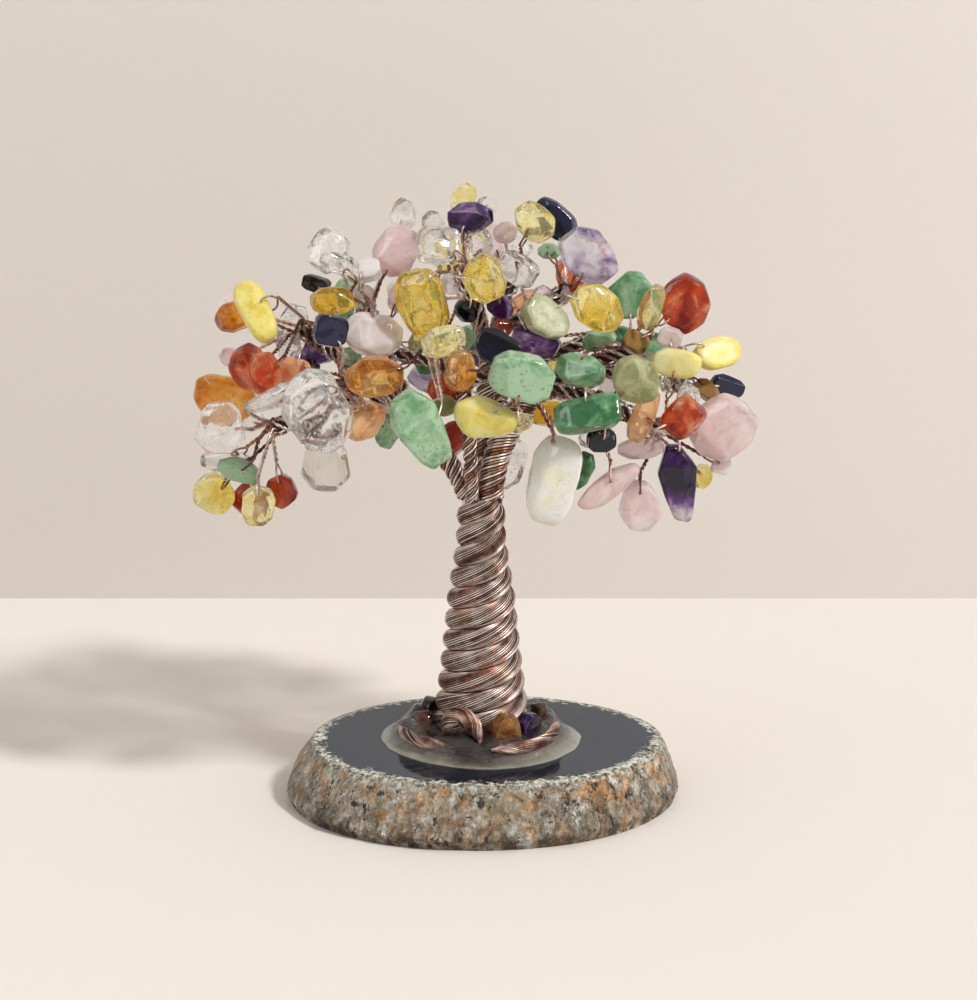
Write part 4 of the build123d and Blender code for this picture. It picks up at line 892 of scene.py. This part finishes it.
def ground_planes(points, triangles):
    """Middle, normals and offsets of a chip's ground faces. The walls of its drilled hole are left out.

    A wall's plane has points of the chip in front of it, and a ground face's plane has none.
    """
    normals, offsets = face_planes(points, triangles)
    outer = (points @ normals.T - offsets).max(axis=0) < 1e-6
    middle = (points.max(axis=0) + points.min(axis=0)) / 2
    keys = np.round(np.column_stack((normals * 60, offsets * 2e4))).astype(int)
    _, first = np.unique(np.where(outer[:, None], keys, 0), axis=0, return_index=True)
    first = first[outer[first]]
    reach = offsets[first] - normals[first] @ middle
    return middle, normals[first], reach


def corner_cuts(corners, normals, reach, count, seed):
    """Adds faces that cut corners off: a face stands across a chance direction m at a chance share of max(m . v)."""
    draw = np.random.default_rng(seed)
    ways = unit(draw.normal(size=(count, 3)))
    cut = (corners @ ways.T).max(axis=0) * draw.uniform(*CORNER_CUT, count)
    return np.vstack((normals, ways)), np.concatenate((reach, cut))


def tumbled(directions, normals, reach, sharpness, dent, seed):
    """The radius of a tumbled chip in each direction u.

    r(u) = (sum over faces of (max(n . u, 0) / d)^p)^(-1/p) rounds the solid that the faces cut, and
    lies inside it. Each face is then hollowed a little between its edges, where the greatest of the sum's terms
    stands clear of the next, one end is slimmer than the other, and broad and fine dents take more of r away, up to
    the dent's share of it in all. The second value is 1 on the edges between the faces and 0 away from them.
    """
    facing = np.maximum(directions @ normals.T, 0.0) / reach
    radius = (facing ** sharpness).sum(axis=-1) ** (-1 / sharpness)
    broad = lattice_noise(directions * 1.25 + seed * 3.7, seed)
    fine = fractal(directions * 3.5 + seed * 1.9, seed + 9, 2)
    ranked = np.sort(facing, axis=-1)
    lead = 1 - ranked[..., -2] / ranked[..., -1]
    hollow = np.clip(5 * lead, 0, 1)
    slim_end = np.random.default_rng(seed + 500).normal(size=3)
    slim = 0.5 + 0.5 * directions @ (slim_end / np.linalg.norm(slim_end))
    taken = HOLLOW_SHARE * hollow + BROAD_SHARE * broad + FINE_SHARE * fine + SLIM_SHARE * slim ** 2
    return radius * (1 - dent * (taken - taken.min())), np.clip(1 - 12 * lead, 0, 1)


def add_chip(shape, points, triangles, seed, grid, sharpness, tone, pale_tip):
    """Adds one tumbled chip in the place of its CAD solid.

    Its tone is paler on its edges, a painted highlight, and by the pale tip's share from a tenth below its middle
    downward.
    """
    s = settings()
    middle, normals, reach = ground_planes(points, triangles)
    normals, reach = corner_cuts(points - middle, normals, reach, s.corner_cuts, seed)
    radius, edge = tumbled(grid, normals, reach, sharpness, s.dent, seed)
    corners = middle + grid * radius[..., None]
    keys = np.round(grid.reshape(-1, 3) * 1e5).astype(int)
    _, first, where = np.unique(keys, axis=0, return_index=True, return_inverse=True)
    where = where.reshape(grid.shape[:-1])
    a, b, c, d = where[:, :-1, :-1], where[:, 1:, :-1], where[:, 1:, 1:], where[:, :-1, 1:]
    faces = np.stack((a, b, c, d), axis=-1).reshape(-1, 4)
    corners = corners.reshape(-1, 3)[first]
    depth = (middle[2] - corners[:, 2]) / np.ptp(corners[:, 2])
    # Paler edges are a painted highlight along the chip's edges.
    tones = tone + EDGE_PAINTED_HIGHLIGHT * edge.ravel()[first] + pale_tip * np.clip(depth - 0.1, 0, 1)
    shape.add(corners, faces.tolist(), 0, tones)


def bored(mesh, hinge):
    """The mesh of a hanging chip with the bore that its loop runs through: o + t a + BORE_RADIUS round it.

    o is the hinge's place and a its axis. The bore turns on its middle as the chip swings, so the loop stays clear.
    Corners with two edges only, which the cut can leave on the rims, are taken out, and the rims' faces are split.
    """
    middle, axis = np.array(hinge["pos_m"]), np.array(hinge["axis"])
    tool = Shape()
    plain_tube(tool, middle + axis * np.array([[-BORE_REACH], [BORE_REACH]]), np.full(2, BORE_RADIUS), BORE_SIDES)
    tool_mesh = bpy.data.meshes.new("bore")
    tool_mesh.from_pydata(np.vstack(tool.points).tolist(), [], tool.faces)
    chip, cutter = bpy.data.objects.new("chip", mesh), bpy.data.objects.new("bore", tool_mesh)
    for part in (chip, cutter):
        bpy.context.scene.collection.objects.link(part)
    cut = chip.modifiers.new("bore", "BOOLEAN")
    cut.operation, cut.solver, cut.object = "DIFFERENCE", "EXACT", cutter
    result = bpy.data.meshes.new_from_object(chip.evaluated_get(bpy.context.evaluated_depsgraph_get()))
    name, before = mesh.name, len(mesh.polygons)
    for part in (chip, cutter):
        bpy.data.objects.remove(part)
    bpy.data.meshes.remove(mesh)
    bpy.data.meshes.remove(tool_mesh)
    if len(result.polygons) <= before:
        raise RuntimeError(f"{name} was not bored")
    work = bmesh.new()
    work.from_mesh(result)
    loose = [corner for corner in work.verts if len(corner.link_edges) == 2]
    bmesh.ops.dissolve_verts(work, verts=loose)
    mouths = [face for face in work.faces if len(face.verts) > 4]
    bmesh.ops.triangulate(work, faces=mouths, ngon_method="BEAUTY")
    work.to_mesh(result)
    work.free()
    result.name = name
    return result


def chip_nodes():
    """The nodes that hold chips or foot stones."""
    return sorted(name for name in frame["nodes"] if name.split("_")[-1] in GEM_WORDS or "chips" in name)


def gem_of(node):
    """The gem that a node's chips are of."""
    if node.startswith("foot_amber"):
        return "soaked_amber"
    name = node.removeprefix("foot_")
    for gem in sorted(GEMS, key=len, reverse=True):
        if name.startswith(gem):
            return gem
    raise ValueError(f"no gem is known for {node}")


def slot_of(node):
    """The record's material slot of a node."""
    for part in frame["record"]["subparts"]:
        if part["node"] == node:
            return part["material_slot"]
    raise ValueError(f"{node} has no slot")


def body_of_node(node):
    """The body that a node rides on."""
    for body, nodes in frame["record"]["behaviour"]["bodies"].items():
        if node in nodes:
            return body
    raise ValueError(f"{node} is on no body")


# The slice and its resin

FACE_SHARES = (1.0, 0.995, 0.985, 0.975, 0.965, 0.95, 0.93, 0.9, 0.7, 0.45, 0.2)


def ring_radii(node, height_rows, angles):
    """Radius of a node's outline at given angles for each of its levels, and the levels' heights."""
    points, _ = node_mesh(node)
    levels = np.unique(np.round(points[:, 2], 6))
    radii = []
    for level in levels:
        ring = points[np.abs(points[:, 2] - level) < 2e-6]
        bearing = np.arctan2(ring[:, 1], ring[:, 0])
        order = np.argsort(bearing)
        radii.append(np.interp(angles, bearing[order], np.linalg.norm(ring[order, :2], axis=1), period=tau))
    radii = np.array(radii)
    share = np.linspace(0, 1, len(levels))
    rows = np.array([np.interp(height_rows, share, column) for column in radii.T]).T
    return np.interp(height_rows, share, levels), rows


def slice_shape():
    """The agate slice: flat underside, rough rind and polished face, as one closed surface.

    The rind's point at an angle and height goes in by depth (1 - noise), least at its top and foot.
    """
    shape = Shape()
    angles = np.linspace(-pi, pi, SLICE_POINTS, endpoint=False)
    rows = np.linspace(0, 1, SLICE_ROWS)
    heights, radii = ring_radii("base_slab", rows, angles)
    around = np.stack((np.cos(angles), np.sin(angles)), axis=-1)
    levels = np.broadcast_to(heights[:, None, None], radii.shape + (1,))
    places = np.concatenate((radii[..., None] * around, levels), axis=-1)
    coarse = fractal(places * 160.0, 3, 3)
    grit = fractal(places * 900.0, 8, 3)
    rough = 1 - np.clip(0.55 * coarse + 0.45 * grit, 0, 1)
    calm = np.interp(rows, (0.0, 0.06, 0.88, 1.0), (0.25, 1.0, 1.0, 0.35))[:, None]
    inward = settings().rind_depth * (rough - rough.min()) * calm * 1.5
    places[..., :2] -= inward[..., None] * around
    places[-1, :, 2] -= settings().rind_depth * (0.1 + 0.5 * grit[-1])
    # The rind's point value falls in its hollows, where the rind's colour is darkened as painted shade.
    shape.grid(places, 1, (1 - rough * calm).ravel())
    top = []
    edge = np.linalg.norm(places[-1, :, :2], axis=1)
    for share in FACE_SHARES[1:]:
        ring = around * (edge * share)[:, None]
        drop = settings().rind_depth * np.interp(share, (0.965, 1.0), (0.0, 0.35))
        crumbs = fractal(np.column_stack((ring * 700.0, np.zeros(len(angles)))), 21, 3)
        top.append(np.column_stack((ring, heights[-1] - drop * crumbs)))
    face = np.stack([places[-1]] + top)
    value = np.interp(FACE_SHARES, (0.2, 0.88, 0.93, 0.97, 1.0), (0.0, 0.24, 0.42, 0.66, 0.90))
    shape.grid(face, 0, np.repeat(value, len(angles)))
    shape.faces += [list(range(shape.count - len(angles), shape.count)), list(range(len(angles) - 1, -1, -1))]
    shape.kinds += [0, 1]
    return shape


def resin_shape():
    """The resin: a dome that falls as 1 - t^2.4 from the trunk to its edge, with a mound round the trunk's foot.

    t runs from 0 at the trunk to 1 at the edge, and the mound falls as 1 - (t / 0.8)^4. Slow waves are added,
    and noise draws the edge in.
    """
    shape = Shape()
    angles = np.linspace(-pi, pi, RESIN_POINTS, endpoint=False)
    low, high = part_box("resin_pool")
    _, radii = ring_radii("resin_pool", np.array((0.0, 1.0)), angles)
    around = np.stack((np.cos(angles), np.sin(angles)), axis=-1)
    shares = (1.0, 0.985, 0.965, 0.94, 0.92, 0.90, 0.88, 0.86, 0.84, 0.82, 0.80, 0.78, 0.76, 0.74, 0.71, 0.68, 0.65,
              0.62, 0.59, 0.56, 0.53, 0.50)
    ragged = 1 - 0.07 * fractal(np.column_stack((around * 3.4, np.zeros(len(angles)))), 23, 3)
    rows = [np.column_stack((around * (radii[0] * ragged)[:, None], np.full(len(angles), low[2])))]
    for share in shares:
        t = (share - shares[-1]) / (1 - shares[-1])
        ring = around * (radii[0] * share * (1 + t * (ragged - 1)))[:, None]
        swell = fractal(np.column_stack((ring * 260.0, np.zeros(len(angles)))), 31, 2) - 0.5
        height = (high[2] - low[2]) * (1 - t ** 2.4) * (1 + 0.5 * swell) + 0.12 * MM
        mound = RESIN_RISE * np.clip(1 - (t / 0.80) ** 4, 0, 1) * (1 + 1.3 * swell)
        rows.append(np.column_stack((ring, low[2] + height + mound)))
    # The point value is 0 on the edge row, where the resin paints a pale highlight, and grows browner inward and at
    # the front.
    browner = np.concatenate(([0.0], np.interp(shares, (0.5, 0.78, 0.88, 1.0), (1.0, 0.85, 0.25, 0.0))))[:, None]
    front = 0.75 * np.exp(-((angles + pi / 2) / 0.55) ** 2) * np.interp(browner, (0.0, 0.25), (0.3, 1.0))
    shape.closed(np.array(rows), 0, np.clip(browner + front, 0, 1).ravel())
    return shape


# One operator for each group of pieces

def upward_route(node, sides):
    """The route and radii of a node's one tube, from its low end to its high end."""
    route, radii = tube_route(*solids_of(node)[0], sides)
    return (route[::-1], radii[::-1]) if route[0][2] > route[-1][2] else (route, radii)


def wire_piece(shape, name, node):
    """Makes a piece of copper wires with their dark inner tubes of painted shade, on the tree."""
    shape.piece(name, [copper(), shadow_copper()], TREE, "copper", [node])


class GEMTREE_OT_base(bpy.types.Operator):
    """Make the agate slice and the resin pool."""

    bl_idname = "gemtree.base"
    bl_label = "Base"

    def execute(self, context):
        slice_shape().piece("agate_slice", [face_material(), rind_material()], TREE, "stone", ["base_slab"])
        resin_shape().piece("resin", [resin_material()], TREE, "resin", ["resin_pool"])
        return {"FINISHED"}


class GEMTREE_OT_trunk(bpy.types.Operator):
    """Make the wound bundles, the core inside them, the fork and the roots."""

    bl_idname = "gemtree.trunk"
    bl_label = "Trunk"

    def execute(self, context):
        s = settings()
        for node in BAND_NODES:
            shape = Shape()
            route, _ = upward_route(node, BUNDLE_SIDES)
            wound_band(shape, route, s.strand_radius, -s.bundle_turn)
            wire_piece(shape, f"wound_{node}", node)
        shape = Shape()
        route, radii = upward_route("trunk_core", CORE_SIDES)
        filler(shape, route, np.minimum(radii, radii[:-3].min()) * CORE_SHARE, 1.0, CORE_STEP, 24)
        fork_crown(shape, route, radii[-1] * FORK_SHARE, s.strand_radius, -s.bundle_turn)
        wire_piece(shape, "core_and_fork", "trunk_core")
        for node in ROOT_NODES:
            shape = Shape()
            route, radii = tube_route(*solids_of(node)[0], ROOT_SIDES)
            path = smooth_path(route, ROOT_STEP)
            length = lengths_along(path)
            near_end = np.minimum(length, length[-1] - length) / ROOT_TAPER
            width = radii.mean() * ROOT_SWELL * np.clip(near_end ** 0.6, 0.30, 1)
            spot = width - s.strand_radius
            lay_wires(shape, path, carried_sides(path), (spot, spot), strand_count(width.max(), s.strand_radius),
                      s.strand_radius, s.bundle_turn * ROOT_LAY, 5, ROOT_SEED, 0.6)
            plain_tube(shape, path, width * 0.75)
            wire_piece(shape, f"wire_{node}", node)
        return {"FINISHED"}


class GEMTREE_OT_limbs(bpy.types.Operator):
    """Make the limbs and boughs as ropes of twisted wires."""

    bl_idname = "gemtree.limbs"
    bl_label = "Limbs and boughs"

    def execute(self, context):
        s = settings()
        for node in LIMB_NODES:
            shape = Shape()
            for solid in solids_of(node):
                route, radii = tube_route(*solid, LIMB_SIDES)
                if len(route) == LIMB_RINGS:
                    radii = radii * LIMB_SWELL
                    wires = strand_count(radii.mean() * LIMB_WIRE_SHARE, s.wire_radius)
                    rope(shape, route, radii, 3, wires, s.wire_radius, s.limb_turn, -s.bundle_turn, LIMB_STEP)
                    continue
                strands = int(np.clip(round(radii.mean() / BOUGH_STRAND), 4, 9))
                rope(shape, route, radii * BOUGH_SWELL, strands, 2, s.wire_radius, s.rope_turn, s.pair_turn,
                     BOUGH_STEP)
                filler(shape, route, radii, 0.50 * BOUGH_SWELL, FILLER_STEP)
            wire_piece(shape, f"rope_{node}", node)
        return {"FINISHED"}


class GEMTREE_OT_twigs(bpy.types.Operator):
    """Make the twisted wires that carry the chips."""

    bl_idname = "gemtree.twigs"
    bl_label = "Twigs"

    def execute(self, context):
        s = settings()
        for node in TWIG_NODES:
            shape = Shape()
            for number, solid in enumerate(solids_of(node)):
                route, _ = tube_route(*solid, TWIG_SIDES)
                path = looped_wire(route, s.wire_radius, s.pair_turn, TWIG_STEP)
                guide, _ = carried_sides(path)
                shape.tubes(path[None], s.wire_radius, 6, guide[None], [spaced(number) * 0.7])
            shape.piece(f"wires_{node}", [copper()], TREE, "copper", [node])
        return {"FINISHED"}


class GEMTREE_OT_chips(bpy.types.Operator):
    """Make the tumbled gem chips and the stones at the foot."""

    bl_idname = "gemtree.chips"
    bl_label = "Chips"

    def execute(self, context):
        looks = {}
        grid = ball_directions(CHIP_CELLS)
        hinges = {joint["child"]: joint for joint in frame["record"]["behaviour"]["joints"]}
        seed = 0
        for node in chip_nodes():
            gem = gem_of(node)
            if gem not in looks:
                looks[gem] = gem_material(gem)
            shape = Shape()
            solids = sorted(solids_of(node), key=lambda solid: solid[0][:, 0].mean())
            for number, solid in enumerate(solids):
                seed += 1
                tone = TONES[node][number] if node in TONES else spaced(seed)
                add_chip(shape, *solid, seed, grid, GEMS[gem][-1], tone, PALE_TIPS.get(node, 0.0))
            shape.piece(f"tumbled_{node}", [looks[gem]], body_of_node(node), slot_of(node), [node], hinges.get(node))
        return {"FINISHED"}


class GEMTREE_OT_stage(bpy.types.Operator):
    """Make the floor, the wall, the lights and the camera."""

    bl_idname = "gemtree.stage"
    bl_label = "Stage"

    def execute(self, context):
        make_stage()
        make_lights()
        make_camera()
        return {"FINISHED"}


FLOOR_COLOUR = (0.785, 0.734, 0.680)
# The wall's colours paint shade at its left and light at its right and towards its top.
WALL_SHADED_LEFT = (0.725, 0.675, 0.620)
WALL_LIT_RIGHT = (0.835, 0.780, 0.730)
WALL_PAINTED_REFLECTION = (0.62, 0.645, 0.69)
WALL_TOP_PAINTED_LIGHT = 1.15
WALL_PAINTED_LIGHT_HEIGHT = 150.0 * MM
SKY_PLAIN = (0.74, 0.67, 0.60)
SKY_LEVEL = 0.87
SUN_LEVEL = 2.05
SUN_WIDTH = radians(7.0)
SUN_COLOUR = (1.0, 0.99, 0.975)
SUN_TURN = (radians(43.4), 0.0, radians(54.1))
SOFTBOXES = (((-0.62, -0.55, 0.62), 0.20, 0.30), ((0.75, -0.35, 0.55), 0.16, 0.26))
SOFTBOX_LEVEL = 4.6
WALL_Y = 123.0 * MM
STAGE_REACH = 1.6
VIEW_MIDDLE = (1.35 * MM, 0.0, 56.0 * MM)


def make_stage():
    """A pale floor, and a pale wall behind that can't be seen from its back. Glossy rays see the wall cooler, a
    painted reflection tint that polished stone shows.
    """
    look = plain_look("wall", WALL_SHADED_LEFT, WALL_LIT_RIGHT, WALL_TOP_PAINTED_LIGHT)
    rays = look.node("LightPath").outputs
    # Painted reflection: glossy rays that are not refracted see a cooler wall colour.
    painted_reflection_tint = look.maths("SUBTRACT", rays["Is Glossy Ray"], rays["Is Transmission Ray"], clamp=True)
    look.put("Base Color", look.mix(painted_reflection_tint, look.shader.inputs["Base Color"].links[0].from_socket, WALL_PAINTED_REFLECTION))
    look.choose(look.node("NewGeometry").outputs["Backfacing"], look.shader.outputs[0],
                look.node("BsdfTransparent").outputs[0], "Material Output")
    far = STAGE_REACH
    floor = [(-far, -far, 0), (far, -far, 0), (far, far, 0), (-far, far, 0)]
    wall = [(-far, WALL_Y, 0), (far, WALL_Y, 0), (far, WALL_Y, far), (-far, WALL_Y, far)]
    for name, corners, material in (("floor", floor, plain_look("floor", FLOOR_COLOUR, FLOOR_COLOUR).data),
                                    ("wall", wall, look.data)):
        mesh = bpy.data.meshes.new(name)
        mesh.from_pydata(corners, [], [(0, 1, 2, 3)])
        mesh.materials.append(material)
        thing = bpy.data.objects.new(name, mesh)
        bpy.context.scene.collection.objects.link(thing)


def softbox(look, centre, width, height):
    """1 in the directions of a soft light's rectangle and 0 elsewhere: |d . a| < width, |d . b| < height, d . c > 0.

    c points at the rectangle's centre, a is level and square to it, and b is square to both.
    """
    centre = np.array(centre) / np.linalg.norm(centre)
    level = np.cross(centre, (0.0, 0.0, 1.0))
    level = level / np.linalg.norm(level)
    share = []
    for axis in (level, np.cross(level, centre), centre):
        dot = look.node("VectorMath", operation="DOT_PRODUCT")
        look.feed(dot.inputs[0], look.places)
        look.feed(dot.inputs[1], axis)
        share.append(dot.outputs["Value"])
    wide, tall = (look.mask(look.maths("ABSOLUTE", value), half * 0.9, half, 0.0, 1.0)
                  for value, half in zip(share, (width, height)))
    return look.times(look.times(wide, tall), look.maths("GREATER_THAN", share[2], 0.0))


def make_lights():
    """A soft sun from the right and front, and a studio sky: bright overhead and at the sides, dim high in front."""
    sun = bpy.data.lights.new("sun", "SUN")
    sun.energy, sun.angle, sun.color = SUN_LEVEL, SUN_WIDTH, SUN_COLOUR
    lamp = bpy.data.objects.new("sun", sun)
    lamp.rotation_euler = SUN_TURN
    bpy.context.scene.collection.objects.link(lamp)
    look = Look("sky", world=True)
    axes = look.axes()
    bright = look.ramp(look.scaled(axes["Z"], 0.5, 0.5),
                       [(0.45, (0.44, 0.42, 0.40)), (0.60, (0.62, 0.61, 0.60)), (0.95, (1.0, 1.0, 1.0))])
    front = look.mask(look.times(axes["Y"], -1.0), 0.35, 0.75, 0.85)
    dim = look.mix(look.times(front, look.mask(axes["Z"], 0.08, 0.22)), bright, (0.26, 0.26, 0.27))
    rays = look.node("LightPath").outputs
    boxes = look.maths("ADD", *(softbox(look, *box) for box in SOFTBOXES))
    look.put("Color", look.mix(look.times(boxes, rays["Is Glossy Ray"]), dim, (SOFTBOX_LEVEL,) * 3))
    look.put("Strength", SKY_LEVEL)
    plain = look.node("Background")
    look.feed(plain.inputs["Color"], SKY_PLAIN)
    look.choose(look.maths("MAXIMUM", rays["Is Camera Ray"], rays["Is Transmission Ray"]), look.shader.outputs[0],
                plain.outputs[0], "World Output")
    bpy.context.scene.world = look.data
    bpy.context.scene.view_settings.view_transform = "Standard"


def make_camera():
    """The camera looks down at the middle of the view from its distance."""
    s = settings()
    camera = bpy.data.cameras.new("camera")
    camera.lens, camera.clip_start, camera.clip_end = s.lens, 0.05, 20.0
    eye = bpy.data.objects.new("camera", camera)
    eye.location = np.array(VIEW_MIDDLE) + s.eye_distance * np.array((0.0, -cos(s.eye_tilt), sin(s.eye_tilt)))
    eye.rotation_euler = (pi / 2 - s.eye_tilt, 0.0, 0.0)
    bpy.context.scene.collection.objects.link(eye)
    bpy.context.scene.camera = eye


class GEMTREE_PT_panel(bpy.types.Panel):
    """Buttons for the tree's groups, with their settings."""

    bl_idname = "GEMTREE_PT_panel"
    bl_label = "Gem Tree"
    bl_space_type = "VIEW_3D"
    bl_region_type = "UI"
    bl_category = "Gem Tree"

    def draw(self, context):
        for operator in OPERATORS:
            self.layout.operator(operator.bl_idname)
        for name in GemTreeSettings.__annotations__:
            self.layout.prop(context.scene.gem_tree, name)


OPERATORS = (
    GEMTREE_OT_base, GEMTREE_OT_trunk, GEMTREE_OT_limbs, GEMTREE_OT_twigs, GEMTREE_OT_chips, GEMTREE_OT_stage,
)


def register():
    """Adds the settings, the operators and the panel."""
    for cls in (GemTreeSettings, *OPERATORS, GEMTREE_PT_panel):
        bpy.utils.register_class(cls)
    bpy.types.Scene.gem_tree = bpy.props.PointerProperty(type=GemTreeSettings)


def unregister():
    """Takes them away again."""
    del bpy.types.Scene.gem_tree
    for cls in reversed((GemTreeSettings, *OPERATORS, GEMTREE_PT_panel)):
        bpy.utils.unregister_class(cls)


def main():
    """Makes the whole tree."""
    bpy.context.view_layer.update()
    register()
    bpy.ops.gemtree.base()
    bpy.ops.gemtree.trunk()
    bpy.ops.gemtree.limbs()
    bpy.ops.gemtree.twigs()
    bpy.ops.gemtree.chips()
    bpy.ops.gemtree.stage()


if __name__ == "__main__":
    main()
